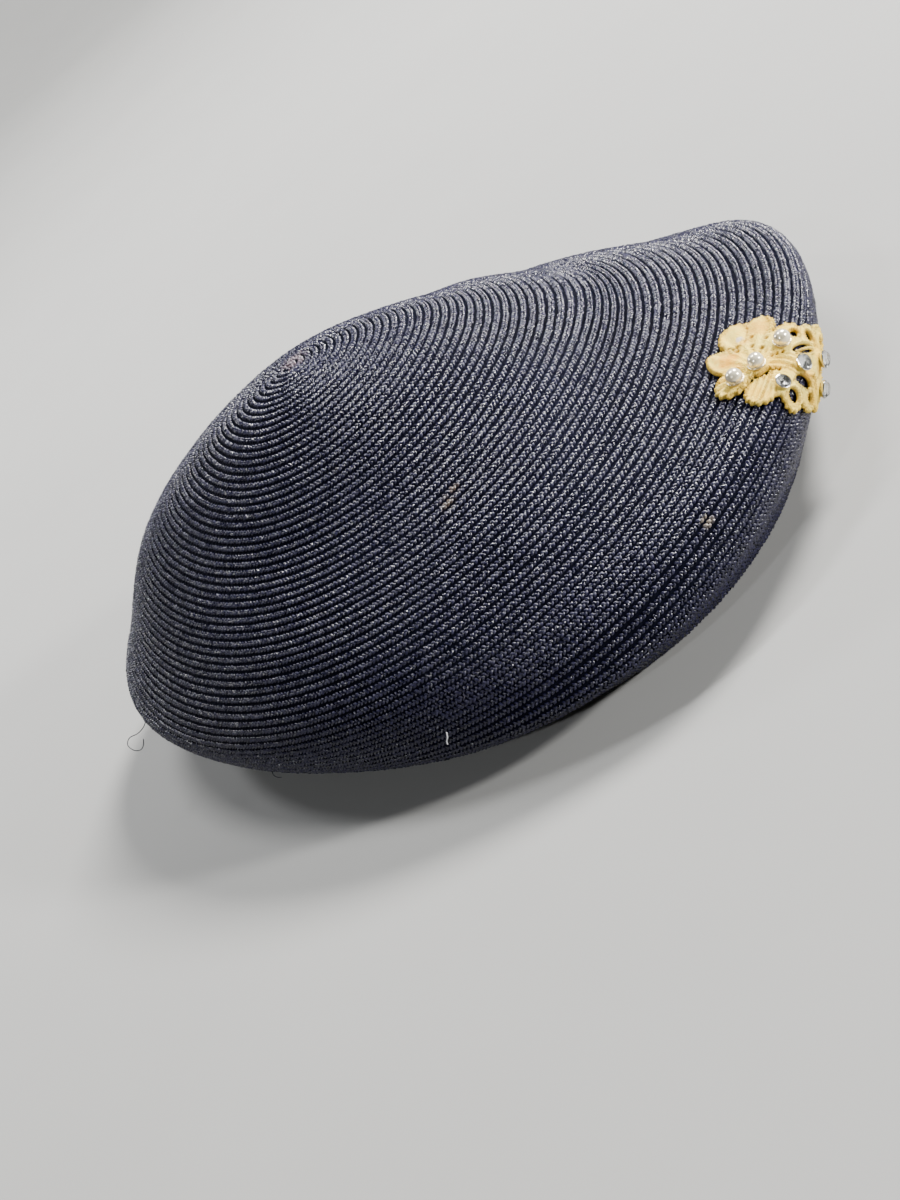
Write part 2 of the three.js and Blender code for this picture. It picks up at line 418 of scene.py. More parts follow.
class StrandTree:
    """The node tree that lays short curved strands along paths, in one line or two.

    A strand is a grid of unit size, which tapers and drops to its ends and sides. FILLED and LONGER say how
    much of a narrow and of a broad row the strands fill, and how long they are there: the row's width as a
    share of the usual one, from and to, and the factor at each end.
    """

    INPUTS = tuple((size.name, SOCKET_KINDS[size.type]) for size in fields(StrandStyle))
    LENGTH_STEPS = 4
    WIDTH_STEPS = 3
    END_TAPER = 0.35
    END_DROP = 1.1
    SIDE_DROP = 0.75
    FILLED = (0.6, 1.3, 0.86, 1.14)
    LONGER = (0.5, 1.5, 0.35, 1.65)
    SIZES = (0.84, 1.14)

    def __init__(self) -> None:
        """Build the tree once."""
        self.tree = bpy.data.node_groups.new("strands_along_path", "GeometryNodeTree")
        self.graph = Graph(self.tree)
        self.sockets: dict[str, str] = {}
        face = self.tree.interface
        face.new_socket("Geometry", in_out="INPUT", socket_type="NodeSocketGeometry")
        for title, kind in self.INPUTS:
            socket = face.new_socket(title, in_out="INPUT", socket_type=kind)
            self.sockets[title] = socket.identifier
        socket = face.new_socket("material", in_out="INPUT", socket_type="NodeSocketMaterial")
        self.sockets["material"] = socket.identifier
        face.new_socket("Geometry", in_out="OUTPUT", socket_type="NodeSocketGeometry")
        self.given = self.graph.add("NodeGroupInput").outputs
        self._wire()

    def _attribute(self, name: str, kind: str) -> bpy.types.NodeSocket:
        """A named attribute of the path."""
        node = self.graph.add("GeometryNodeInputNamedAttribute", {"Name": name}, data_type=kind)
        return node.outputs["Attribute"]

    def _random(self, low: float, high: float, seed_step: int) -> bpy.types.NodeSocket:
        """A random number for each strand."""
        seed = self.graph.math("ADD", self.given["seed"], float(seed_step))
        node = self.graph.add("FunctionNodeRandomValue", {2: low, 3: high, "Seed": seed}, data_type="FLOAT")
        return node.outputs[1]

    def _strand(self) -> bpy.types.NodeSocket:
        """One strand of unit size: a strip that bows up and dips at its ends and sides."""
        graph = self.graph
        sizes = {"Size X": 2.0, "Size Y": 2.0}
        steps = {"Vertices X": self.LENGTH_STEPS, "Vertices Y": self.WIDTH_STEPS}
        grid = graph.add("GeometryNodeMeshGrid", sizes | steps)
        feeds = {"Geometry": grid.outputs["Mesh"], "Name": "UVMap", "Value": grid.outputs["UV Map"]}
        mapped = graph.add("GeometryNodeStoreNamedAttribute", feeds, data_type="FLOAT2", domain="CORNER")
        place = graph.add("GeometryNodeInputPosition").outputs["Position"]
        parts = graph.add("ShaderNodeSeparateXYZ", {0: place}).outputs
        far = graph.math("MULTIPLY", parts["X"], parts["X"])
        wide = graph.math("MULTIPLY", parts["Y"], parts["Y"])
        taper = graph.math("SUBTRACT", 1.0, graph.math("MULTIPLY", far, self.END_TAPER))
        end_drop = graph.math("MULTIPLY", far, self.END_DROP)
        drop = graph.math("ADD", end_drop, graph.math("MULTIPLY", wide, self.SIDE_DROP))
        breadth = graph.math("MULTIPLY", parts["Y"], taper)
        bowed = graph.xyz(parts["X"], breadth, graph.math("SUBTRACT", 1.0, drop))
        shaped = graph.add("GeometryNodeSetPosition", {"Geometry": mapped.outputs[0], "Position": bowed})
        return shaped.outputs[0]

    def _line(self, points: Feed, strand: Feed, side: float, shown: Feed) -> bpy.types.NodeSocket:
        """One line of strands.

        Args:
            points: The path's points.
            strand: The strand to repeat.
            side: 1 for the line towards the rim, -1 for the other.
            shown: Whether the line is there.

        Returns:
            The line's instances.
        """
        graph = self.graph
        given = self.given
        up = self._attribute("up", "FLOAT_VECTOR")
        run = self._attribute("run", "FLOAT_VECTOR")
        pitch = self._attribute("pitch", "FLOAT")
        across = graph.vector("CROSS_PRODUCT", run, up)
        broad = graph.math("DIVIDE", pitch, given["pitch"])
        filled = graph.ramped(broad, *self.FILLED)
        reach = graph.math("MULTIPLY", pitch, graph.math("MULTIPLY", given["side"], side))
        reach = graph.math("MULTIPLY", reach, filled)
        lead = graph.math("MULTIPLY", given["spacing"], side / 4)
        seeds = 10 if side > 0 else 20
        shake = graph.math("MULTIPLY", given["jitter"], self._random(-1, 1, seeds))
        rise = graph.math("ADD", given["lift"], shake)
        offset = graph.vector("ADD", graph.scaled(across, reach), graph.scaled(run, lead))
        offset = graph.vector("ADD", offset, graph.scaled(up, rise))
        moved = graph.add("GeometryNodeSetPosition", {"Geometry": points, "Offset": offset})
        axes = {"Primary Axis": up, "Secondary Axis": run}
        square = graph.add("FunctionNodeAxesToRotation", axes, primary_axis="Z", secondary_axis="X")
        turned = square.outputs[0]
        draws = [self._random(-1, 1, seeds + step) for step in (1, 4, 5)]
        sways = [graph.math("MULTIPLY", given["sway"], draw) for draw in draws]
        slant = graph.math("ADD", graph.math("MULTIPLY", given["slant"], side), sways[0])
        roll = graph.math("ADD", graph.math("MULTIPLY", given["roll"], side), sways[1])
        tuck = graph.math("ADD", given["tuck"], sways[2])
        for turn in ((roll, 0.0, 0.0), (0.0, 0.0, slant), (0.0, tuck, 0.0)):
            euler = graph.add("FunctionNodeEulerToRotation", {0: graph.xyz(*turn)}).outputs[0]
            feeds = {"Rotation": turned, "Rotate By": euler}
            turned = graph.add("FunctionNodeRotateRotation", feeds, rotation_space="LOCAL").outputs[0]
        longer = graph.ramped(broad, *self.LONGER)
        wider = graph.math("MULTIPLY", broad, filled)
        size = graph.xyz(
            graph.math("MULTIPLY", graph.math("MULTIPLY", given["length"], 0.5), longer),
            graph.math("MULTIPLY", graph.math("MULTIPLY", given["width"], 0.5), wider),
            given["height"],
        )
        size = graph.scaled(size, self._random(*self.SIZES, seeds + 2))
        feeds = {
            "Points": moved.outputs[0],
            "Selection": shown,
            "Instance": strand,
            "Rotation": turned,
            "Scale": size,
        }
        laid = graph.add("GeometryNodeInstanceOnPoints", feeds)
        feeds = {"Geometry": laid.outputs[0], "Name": "strand", "Value": self._random(0, 1, seeds + 3)}
        kept = graph.add("GeometryNodeStoreNamedAttribute", feeds, data_type="FLOAT", domain="INSTANCE")
        return kept.outputs[0]

    def _wire(self) -> None:
        """Join the tree from its path to its finished strands."""
        graph = self.graph
        given = self.given
        curve = graph.add("GeometryNodeMeshToCurve", {0: given["Geometry"]})
        feeds = {"Curve": curve.outputs[0], "Length": given["spacing"]}
        spaced = graph.add("GeometryNodeResampleCurve", feeds, mode="LENGTH")
        dots = graph.add("GeometryNodeCurveToPoints", {0: spaced.outputs[0]}, mode="EVALUATED")
        points = dots.outputs["Points"]
        strand = self._strand()
        joined = graph.add("GeometryNodeJoinGeometry")
        self.tree.links.new(self._line(points, strand, 1.0, True), joined.inputs[0])
        self.tree.links.new(self._line(points, strand, -1.0, given["two_lines"]), joined.inputs[0])
        real = graph.add("GeometryNodeRealizeInstances", {0: joined.outputs[0]})
        smooth = graph.add("GeometryNodeSetShadeSmooth", {"Geometry": real.outputs[0]})
        dressed = graph.add("GeometryNodeSetMaterial", {0: smooth.outputs[0], "Material": given["material"]})
        graph.add("NodeGroupOutput", {0: dressed.outputs[0]})

    def lay(
        self, name: str, paths: list[Path], style: StrandStyle, material: bpy.types.Material
    ) -> bpy.types.Object:
        """Lay strands along paths and keep them as a plain mesh.

        Args:
            name: The piece's name.
            paths: Where the strands lie.
            style: How they lie.
            material: What they are made of.

        Returns:
            The finished mesh object.
        """
        carrier = paths_object(name + "_path", paths)
        modifier = carrier.modifiers.new("strands", "NODES")
        modifier.node_group = self.tree
        for title, _ in self.INPUTS:
            modifier[self.sockets[title]] = getattr(style, title)
        modifier[self.sockets["material"]] = material
        depsgraph = bpy.context.evaluated_depsgraph_get()
        mesh = bpy.data.meshes.new_from_object(
            carrier.evaluated_get(depsgraph), preserve_all_data_layers=True, depsgraph=depsgraph
        )
        mesh.name = name
        made = bpy.data.objects.new(name, mesh)
        bpy.context.scene.collection.objects.link(made)
        carrier.modifiers.remove(modifier)
        bpy.data.objects.remove(carrier)
        return made


# Finishes


def shader_group(name: str, inputs: tuple, outputs: tuple) -> tuple[Graph, bpy.types.Node, bpy.types.Node]:
    """Start a shader node group.

    Args:
        name: The group's name.
        inputs: The name and socket type of each input.
        outputs: The name and socket type of each output.

    Returns:
        The graph with its input and output nodes.
    """
    tree = bpy.data.node_groups.new(name, "ShaderNodeTree")
    for title, kind in inputs:
        tree.interface.new_socket(title, in_out="INPUT", socket_type=kind)
    for title, kind in outputs:
        tree.interface.new_socket(title, in_out="OUTPUT", socket_type=kind)
    graph = Graph(tree)
    return graph, graph.add("NodeGroupInput"), graph.add("NodeGroupOutput")


class Effects:
    """Shader groups that several finishes share.

    PATCH is the range of the noise that a bloom's patches fade over, and EDGE the range of a stain's radius
    that it fades over. RAGGED is how far its edge strays, and GRAIN how fine that is.
    """

    PATCH = (0.35, 0.7)
    EDGE = (0.35, 1.0)
    RAGGED = 1.4
    GRAIN = 900.0

    def __init__(self) -> None:
        """Build every group once."""
        self.bloom = self._bloom()
        self.spot = self._spot()
        self.threads = self._threads()

    @staticmethod
    def _bloom() -> bpy.types.NodeTree:
        """Uneven patches, such as dust or yellowing."""
        inputs = (("Vector", "NodeSocketVector"), ("Scale", "NodeSocketFloat"), ("Amount", "NodeSocketFloat"))
        graph, given, result = shader_group("uneven_bloom", inputs, (("Mask", "NodeSocketFloat"),))
        feeds = {"Vector": given.outputs["Vector"], "Scale": given.outputs["Scale"]}
        noise = graph.add("ShaderNodeTexNoise", feeds | {"Detail": 5.0, "Roughness": 0.6})
        patch = graph.ramped(noise.outputs["Fac"], *Effects.PATCH, 0.0, 1.0)
        graph.tree.links.new(graph.math("MULTIPLY", patch, given.outputs["Amount"]), result.inputs["Mask"])
        return graph.tree

    @staticmethod
    def _spot() -> bpy.types.NodeTree:
        """One stain with a ragged edge."""
        inputs = (
            ("Vector", "NodeSocketVector"),
            ("Middle", "NodeSocketVector"),
            ("Radius", "NodeSocketFloat"),
            ("Amount", "NodeSocketFloat"),
        )
        graph, given, result = shader_group("ragged_stain", inputs, (("Mask", "NodeSocketFloat"),))
        place = given.outputs["Vector"]
        feeds = {0: place, 1: given.outputs["Middle"]}
        gap = graph.add("ShaderNodeVectorMath", feeds, operation="DISTANCE")
        share = graph.math("DIVIDE", gap.outputs["Value"], given.outputs["Radius"])
        noise = graph.add("ShaderNodeTexNoise", {"Vector": place, "Scale": Effects.GRAIN, "Detail": 3.0})
        stray = graph.math("SUBTRACT", noise.outputs["Fac"], 0.5)
        ragged = graph.math("ADD", share, graph.math("MULTIPLY", stray, Effects.RAGGED))
        mask = graph.ramped(ragged, *Effects.EDGE, 1.0, 0.0)
        graph.tree.links.new(graph.math("MULTIPLY", mask, given.outputs["Amount"]), result.inputs["Mask"])
        return graph.tree

    @staticmethod
    def _threads() -> bpy.types.NodeTree:
        """Fine lines of fibre or thread along the U of a map."""
        inputs = (("Vector", "NodeSocketVector"), ("Lines", "NodeSocketFloat"), ("Waver", "NodeSocketFloat"))
        graph, given, result = shader_group("fine_threads", inputs, (("Height", "NodeSocketFloat"),))
        along = given.outputs["Vector"]
        parts = graph.add("ShaderNodeSeparateXYZ", {0: along}).outputs
        noise = graph.add("ShaderNodeTexNoise", {"Vector": along, "Scale": 3.0, "Detail": 2.0})
        bent = graph.math("MULTIPLY", noise.outputs["Fac"], given.outputs["Waver"])
        place = graph.math("ADD", graph.math("MULTIPLY", parts["Y"], given.outputs["Lines"]), bent)
        wave = graph.math("SINE", graph.math("MULTIPLY", place, math.tau))
        graph.tree.links.new(graph.ramped(wave, -1.0, 1.0, 0.0, 1.0), result.inputs["Height"])
        return graph.tree


@dataclass(frozen=True)
class Stain:
    """A mark on a finish: its middle and radius in metres, its strength and colour."""

    middle: tuple[float, float, float]
    radius: float
    amount: float
    colour: Colour


class Surface:
    """A material with its shader, and short ways to reach the shared effects."""

    def __init__(self, name: str, effects: Effects) -> None:
        """Start a material with a plain shader.

        Args:
            name: The material's name.
            effects: The shared shader groups.
        """
        self.material = bpy.data.materials.new(name)
        self.material.use_nodes = True
        self.effects = effects
        self.graph = Graph(self.material.node_tree)
        self.shader = self.material.node_tree.nodes["Principled BSDF"]
        self.object_place = self.graph.add("ShaderNodeTexCoord").outputs["Object"]

    def mapped(self) -> bpy.types.NodeSocket:
        """The piece's own UV map."""
        return self.graph.add("ShaderNodeUVMap", uv_map="UVMap").outputs["UV"]

    def attribute(self, name: str) -> bpy.types.NodeSocket:
        """A number that the mesh carries."""
        return self.graph.add("ShaderNodeAttribute", attribute_name=name).outputs["Fac"]

    def group(self, tree: bpy.types.NodeTree, feeds: dict[str, Feed]) -> bpy.types.NodeSocket:
        """Place a shared effect and give its result."""
        return self.graph.add("ShaderNodeGroup", feeds, node_tree=tree).outputs[0]

    def bloom(self, scale: float, amount: float) -> bpy.types.NodeSocket:
        """A mask of uneven patches on the piece."""
        feeds = {"Vector": self.object_place, "Scale": scale, "Amount": amount}
        return self.group(self.effects.bloom, feeds)

    def threads(self, place: Feed, lines: float, waver: float) -> bpy.types.NodeSocket:
        """The height of fine threads on a map."""
        return self.group(self.effects.threads, {"Vector": place, "Lines": lines, "Waver": waver})

    def set(self, **values: Feed) -> None:
        """Set or link sockets of the shader, with spaces in their names as underscores."""
        for title, value in values.items():
            self.graph.feed(self.shader.inputs[title.replace("_", " ")], value)

    def bump(self, height: Feed, strength: float, distance: float) -> None:
        """Let a height bend the shader's normal."""
        feeds = {"Height": height, "Strength": strength, "Distance": distance}
        self.set(Normal=self.graph.add("ShaderNodeBump", feeds).outputs["Normal"])

    def stained(self, colour: Feed, stains: tuple[Stain, ...]) -> Feed:
        """A colour with stains laid over it."""
        for stain in stains:
            feeds = {
                "Vector": self.object_place,
                "Middle": stain.middle,
                "Radius": stain.radius,
                "Amount": stain.amount,
            }
            colour = self.graph.blend(self.group(self.effects.spot, feeds), colour, stain.colour)
        return colour


@dataclass(frozen=True)
class StrawFinish:
    """Dyed straw with a varnished gloss, a little dust and old marks."""

    deep: Colour = (0.0018, 0.0016, 0.013, 1.0)
    light: Colour = (0.0072, 0.0064, 0.032, 1.0)
    dust: Colour = (0.08, 0.078, 0.076, 1.0)
    dust_amount: float = 0.05
    dust_scale: float = 22.0
    smooth: float = 0.16
    rough: float = 0.36
    gloss: float = 0.55
    fibre_lines: float = 5.0
    fibre_waver: float = 1.5
    fibre_bump: float = 0.2
    fibre_depth: float = 0.04 * MM
    stains: tuple[Stain, ...] = ()

    def material(self, effects: Effects) -> bpy.types.Material:
        """The material of the plaited strands."""
        surface = Surface("straw_strands", effects)
        graph = surface.graph
        strand = surface.attribute("strand")
        colour = graph.blend(strand, self.deep, self.light)
        colour = graph.blend(surface.bloom(self.dust_scale, self.dust_amount), colour, self.dust)
        surface.set(Base_Color=surface.stained(colour, self.stains), Specular_IOR_Level=self.gloss)
        surface.set(Roughness=graph.ramped(strand, 0.0, 1.0, self.smooth, self.rough))
        fibres = surface.threads(surface.mapped(), self.fibre_lines, self.fibre_waver)
        surface.bump(fibres, self.fibre_bump, self.fibre_depth)
        return surface.material


@dataclass(frozen=True)
class PaintedShadowBacking:
    """The sewn backs of the rows, nearly black as painted shadow between the strands, with a plait inside."""

    # Nearly black: painted shadow in the gaps between the rows, and the dark inside of the hat.
    colour: Colour = (0.0015, 0.0016, 0.004, 1.0)
    worn: Colour = (0.004, 0.0045, 0.011, 1.0)
    worn_scale: float = 30.0
    worn_amount: float = 0.8
    roughness: float = 0.75
    gloss: float = 0.02
    plait_turn: float = 0.8
    plait_lines: float = 1.4
    plait_waver: float = 0.3
    plait_bump: float = 0.6
    plait_depth: float = 0.2 * MM

    def material(self, effects: Effects) -> bpy.types.Material:
        """The material of the shell behind the strands, nearly black as painted shadow in the gaps."""
        surface = Surface("straw_backing", effects)
        graph = surface.graph
        worn = surface.bloom(self.worn_scale, self.worn_amount)
        surface.set(Base_Color=graph.blend(worn, self.colour, self.worn))
        surface.set(Roughness=self.roughness, Specular_IOR_Level=self.gloss)
        feeds = {"Vector": surface.mapped(), "Rotation": (0.0, 0.0, self.plait_turn)}
        turned = graph.add("ShaderNodeMapping", feeds).outputs[0]
        plait = surface.threads(turned, self.plait_lines, self.plait_waver)
        surface.bump(plait, self.plait_bump, self.plait_depth)
        return surface.material


@dataclass(frozen=True)
class LaceFinish:
    """Cream cotton lace, yellowed and stained, with painted shade in its hollows."""

    cream: Colour = (1.0, 0.65, 0.07, 1.0)
    pale: Colour = (1.0, 0.82, 0.2, 1.0)
    pale_scale: float = 160.0
    # The dark colour of painted shade in the hollows and of random tone on the stitches.
    crevice: Colour = (0.30, 0.12, 0.015, 1.0)
    roughness: float = 0.85
    gloss: float = 0.25
    thread_lines: float = 2.4
    thread_waver: float = 2.5
    fuzz_scale: float = 2200.0
    fuzz_amount: float = 1.2
    bump: float = 0.7
    bump_depth: float = 0.25 * MM
    stains: tuple[Stain, ...] = ()

    def material(self, effects: Effects) -> bpy.types.Material:
        """The material of the lace and its stitches."""
        surface = Surface("cream_lace", effects)
        graph = surface.graph
        colour = graph.blend(surface.bloom(self.pale_scale, 1.0), self.cream, self.pale)
        # Painted shade in the sheet's hollows and random tone on the stitches, from a point attribute.
        colour = graph.blend(surface.attribute("crevice"), colour, self.crevice)
        surface.set(Base_Color=surface.stained(colour, self.stains))
        surface.set(Roughness=self.roughness, Specular_IOR_Level=self.gloss)
        threads = surface.threads(surface.mapped(), self.thread_lines, self.thread_waver)
        height = graph.math("ADD", threads, surface.bloom(self.fuzz_scale, self.fuzz_amount))
        surface.bump(height, self.bump, self.bump_depth)
        return surface.material


@dataclass(frozen=True)
class GlassFinish:
    """Clear cut glass, a little dull where it is handled."""

    tint: Colour = (0.95, 0.97, 0.97, 1.0)
    film: Colour = (0.86, 0.86, 0.83, 1.0)
    film_scale: float = 900.0
    polished: float = 0.01
    dulled: float = 0.09
    bending: float = 1.52

    def material(self, effects: Effects) -> bpy.types.Material:
        """The material of the cut stones."""
        surface = Surface("cut_glass", effects)
        worn = surface.bloom(self.film_scale, 1.0)
        surface.set(Base_Color=surface.graph.blend(worn, self.tint, self.film))
        surface.set(Roughness=surface.graph.ramped(worn, 0.0, 1.0, self.polished, self.dulled))
        surface.set(IOR=self.bending, Transmission_Weight=1.0)
        return surface.material


@dataclass(frozen=True)
class BlotchedFinish:
    """A finish of two shades in uneven patches.

    It has its material's name, both shades, how fine and how strong the patches are, and the shader's
    constants.
    """

    name: str
    body: Colour
    worn: Colour
    scale: float
    amount: float
    constants: tuple[tuple[str, float], ...]

    def material(self, effects: Effects) -> bpy.types.Material:
        """The material with its patches."""
        surface = Surface(self.name, effects)
        patches = surface.bloom(self.scale, self.amount)
        surface.set(Base_Color=surface.graph.blend(patches, self.body, self.worn))
        surface.set(**dict(self.constants))
        return surface.material


PEARL_LUSTRE = BlotchedFinish(
    name="pearl_lustre",
    body=(0.88, 0.81, 0.62, 1.0),
    worn=(0.74, 0.66, 0.46, 1.0),
    scale=350.0,
    amount=0.8,
    constants=(("Roughness", 0.2), ("Metallic", 0.5), ("Coat_Weight", 1.0), ("Coat_Roughness", 0.05)),
)
PALE_CUP = BlotchedFinish(
    name="pale_cup",
    body=(0.78, 0.68, 0.48, 1.0),
    worn=(0.55, 0.44, 0.27, 1.0),
    scale=700.0,
    amount=1.0,
    constants=(("Roughness", 0.35), ("Metallic", 1.0)),
)
SILVER_FOIL = BlotchedFinish(
    name="silver_foil",
    body=(0.85, 0.85, 0.84, 1.0),
    worn=(0.45, 0.44, 0.42, 1.0),
    scale=700.0,
    amount=1.0,
    constants=(("Roughness", 0.16), ("Metallic", 1.0)),
)
NAVY_THREAD = BlotchedFinish(
    name="navy_thread",
    body=(0.012, 0.013, 0.022, 1.0),
    worn=(0.03, 0.03, 0.045, 1.0),
    scale=1500.0,
    amount=1.0,
    constants=(("Roughness", 0.7), ("Specular_IOR_Level", 0.2)),
)
WHITE_FIBRE = BlotchedFinish(
    name="white_fibre",
    body=(0.72, 0.72, 0.74, 1.0),
    worn=(0.5, 0.5, 0.53, 1.0),
    scale=1500.0,
    amount=1.0,
    constants=(("Roughness", 0.7), ("Specular_IOR_Level", 0.2)),
)
PALE_FLOOR = BlotchedFinish(
    name="pale_floor",
    body=(0.28, 0.28, 0.273, 1.0),
    worn=(0.262, 0.262, 0.256, 1.0),
    scale=8.0,
    amount=0.6,
    constants=(("Roughness", 0.8),),
)


# The braid


@dataclass
class BraidedShell:
    """Crown, brim and turned-under rim in one braid, with sizes in millimetres.

    The braid is about equally wide everywhere, and a little wider where the way from the tip to the rim is
    longer, so there are more turns in front than at the sides. Where a turn has less room to the level last
    turn than run_start, in widths of the braid, it sinks, and at run_end it ends below it.
    """

    crown: CrownForm
    wall: float = 2.0
    backing_depth: float = 0.66
    inside_groove: float = 0.35
    rim_land: float = 1.6
    rim_lift: float = 0.12
    backing_sides: int = 144
    braid_width: float = 2.2
    stretch: float = 0.55
    first_turn: float = 0.45
    path_step: float = 1.8
    fewest_steps: int = 28
    most_steps: int = 320
    rim_steps: int = 400
    rim_share: float = 0.995
    tail_sink: float = 0.9
    run_start: float = 0.95
    run_end: float = 0.35
    shortest_run: int = 4
    pitch_probe: float = 0.25
    plait_step: float = 1.4
    backing_step: float = 0.5
    measured_angles: int = 144
    measured_rows: int = 340
    band_ends: tuple[tuple[str, float], ...] = (
        ("braid_tip_rows", 31.0),
        ("braid_upper_rows", 45.0),
        ("braid_side_rows", 55.0),
        ("braid_brim_rows", 64.0),
        ("braid_rim_rows", 78.0),
    )
    style: StrandStyle = StrandStyle(
        spacing=1.2 * MM,
        length=1.4 * MM,
        width=0.7 * MM,
        height=0.48 * MM,
        lift=-0.46 * MM,
        side=0.155,
        slant=math.radians(31),
        roll=math.radians(24),
        tuck=math.radians(6),
        pitch=2.2 * MM,
        jitter=0.07 * MM,
        sway=math.radians(14),
        two_lines=True,
        seed=3,
    )
    angles: Array = field(init=False)
    rows: Array = field(init=False)
    ways: Array = field(init=False)

    def __post_init__(self) -> None:
        """Measure the crown without its dents from tip to rim, in widths of the braid at each angle."""
        plain = CrownForm(self.crown.rings, ())
        self.angles = np.linspace(0.0, math.tau, self.measured_angles + 1)
        self.rows = np.linspace(0.0, plain.last_row, self.measured_rows + 1)
        steps = np.diff(plain.point(self.rows[:, None], self.angles), axis=0)
        ways = np.cumsum(np.linalg.norm(steps, axis=-1), axis=0) / MM
        widths = self.braid_width * (ways[-1] / ways[-1].mean()) ** self.stretch
        self.ways = np.concatenate([np.zeros((1, len(self.angles))), ways / widths])

    def _rim_turn(self, angle: Array) -> Array:
        """Turns of the braid from the tip to the middle of the level last one, at each angle."""
        return np.interp(np.mod(angle, math.tau), self.angles, self.ways[-1]) - 0.5

    def _row(self, turn: Array, angle: Array) -> Array:
        """The crown's row at a turn of the braid.

        Args:
            turn: Turns counted from the tip.
            angle: The angle at each point.

        Returns:
            The crown's row at each point. Turns are equally wide, or a little wider where the way is longer.
        """
        place = np.mod(angle, math.tau) / math.tau * self.measured_angles
        column = np.minimum(place.astype(int), self.measured_angles - 1)
        row = np.zeros(turn.shape)
        for number in np.unique(column):
            here = column == number
            before = np.interp(turn[here], self.ways[:, number], self.rows)
            after = np.interp(turn[here], self.ways[:, number + 1], self.rows)
            row[here] = before + (after - before) * (place[here] - number)
        return row

    def _path(self, turn: Array, angle: Array, sink: Array | float = 0.0) -> Path:
        """A path on the straw.

        Args:
            turn: The braid's turn at each point.
            angle: The angle at each point.
            sink: Millimetres that the path lies below the crests.

        Returns:
            The path.
        """
        row = self._row(turn, angle)
        points = self.crown.raised(row, angle, -np.broadcast_to(sink, row.shape))
        run = unit(np.gradient(points, axis=0))
        inner = self.crown.point(self._row(turn - self.pitch_probe, angle), angle)
        outer = self.crown.point(self._row(turn + self.pitch_probe, angle), angle)
        pitch = np.linalg.norm(outer - inner, axis=-1) / (2 * self.pitch_probe)
        return Path(points, self.crown.normal(row, angle), run, pitch)

    def _turns(self) -> tuple[Array, Array]:
        """Turns and angles along the braid, from the tip to the last place at the rim."""
        turns = [self.first_turn]
        most = self.ways[-1].max()
        while turns[-1] < most:
            row = turns[-1] * self.crown.last_row / most
            reach = np.linalg.norm(self.crown.point(row, 0.0) - self.crown.point(row, math.pi)) / 2
            steps = math.tau * reach / MM / self.path_step
            steps = min(max(steps, self.fewest_steps), self.most_steps)
            turns.append(turns[-1] + 1 / steps)
        turn = np.array(turns)
        return turn, math.pi + math.tau * (turn - turn[-1])

    def _last_turn(self) -> Path:
        """The level turn at the rim, which the rows before it run out under."""
        around = math.pi + np.linspace(0.0, math.tau * self.rim_share, self.rim_steps)
        return self._path(self._rim_turn(around), around)

    def bands(self, tree: StrandTree, material: bpy.types.Material) -> list[bpy.types.Object]:
        """Lay the plait along the braid, in bands of rows.

        Args:
            tree: The node tree that lays strands.
            material: The strands' material.

        Returns:
            The bands as finished meshes.
        """
        turn, angle = self._turns()
        room = self._rim_turn(angle) - turn
        sunk = (self.run_start - room) / (self.run_start - self.run_end)
        spiral = self._path(turn, angle, self.tail_sink * np.clip(sunk, 0.0, 1.0))
        laid = np.flatnonzero(room > self.run_end)
        runs = np.split(laid, np.flatnonzero(np.diff(laid) > 1) + 1)
        made = []
        start = 0.0
        for name, end in self.band_ends:
            parts = [run[(turn[run] >= start) & (turn[run] < end)] for run in runs]
            parts = [part for part in parts if len(part) >= self.shortest_run]
            paths = [spiral.part(part) for part in parts]
            if name == self.band_ends[-1][0]:
                paths.append(self._last_turn())
            made.append(tree.lay(name, paths, self.style, material))
            start = end
        return made

    def backing(self, material: bpy.types.Material) -> bpy.types.Object:
        """The closed shell behind the strands: smooth outside, ribbed by the rows inside.

        Args:
            material: The shell's material.

        Returns:
            The shell as a finished mesh.
        """
        sides = self.backing_sides
        angle = np.linspace(0.0, math.tau, sides, endpoint=False)
        last = self.crown.last_row
        heights = np.arange(self.backing_step, last, self.backing_step).tolist()
        rings = [self.crown.raised(np.full(sides, row), angle, -self.backing_depth) for row in heights]
        rim = self.crown.raised(np.full(sides, last), angle, -self.backing_depth)
        rim[:, 2] = self.rim_lift * MM
        inward = self.crown.normal(np.full(sides, last), angle)
        inward[:, 2] = 0.0
        land = rim - unit(inward) * self.rim_land * MM
        rings += [rim, land]
        heights += [last, last + self.backing_step]
        for half in range(int(2 * last) - 1, 1, -1):
            depth = self.wall - (self.inside_groove if half % 2 == 0 else 0.0)
            rings.append(self.crown.raised(np.full(sides, half / 2), angle, -depth))
            heights.append(2 * last - half / 2)
        tip = self.crown.point(0.0, 0.0)
        poles = [tip - (0, 0, self.backing_depth * MM), tip - (0, 0, self.wall * MM)]
        points = np.concatenate([poles[:1], *rings, poles[1:]])
        faces = ring_faces(len(rings), sides)
        made = mesh_object("braid_backing", points, faces)
        smooth_faces(made)
        turns = np.concatenate([[0.0], np.tile(np.arange(sides) * self.plait_step, len(rings)), [0.0]])
        levels = np.concatenate([[0.0], np.repeat(heights, sides), [2 * last]])
        lay_uv(made, np.stack([turns, levels], axis=-1))
        made.data.materials.append(material)
        return made


def level_ring(reach: float, height: float, angle: Array) -> Array:
    """Points round a level circle."""
    return np.stack([reach * np.cos(angle), reach * np.sin(angle), np.full(len(angle), height)], axis=-1)


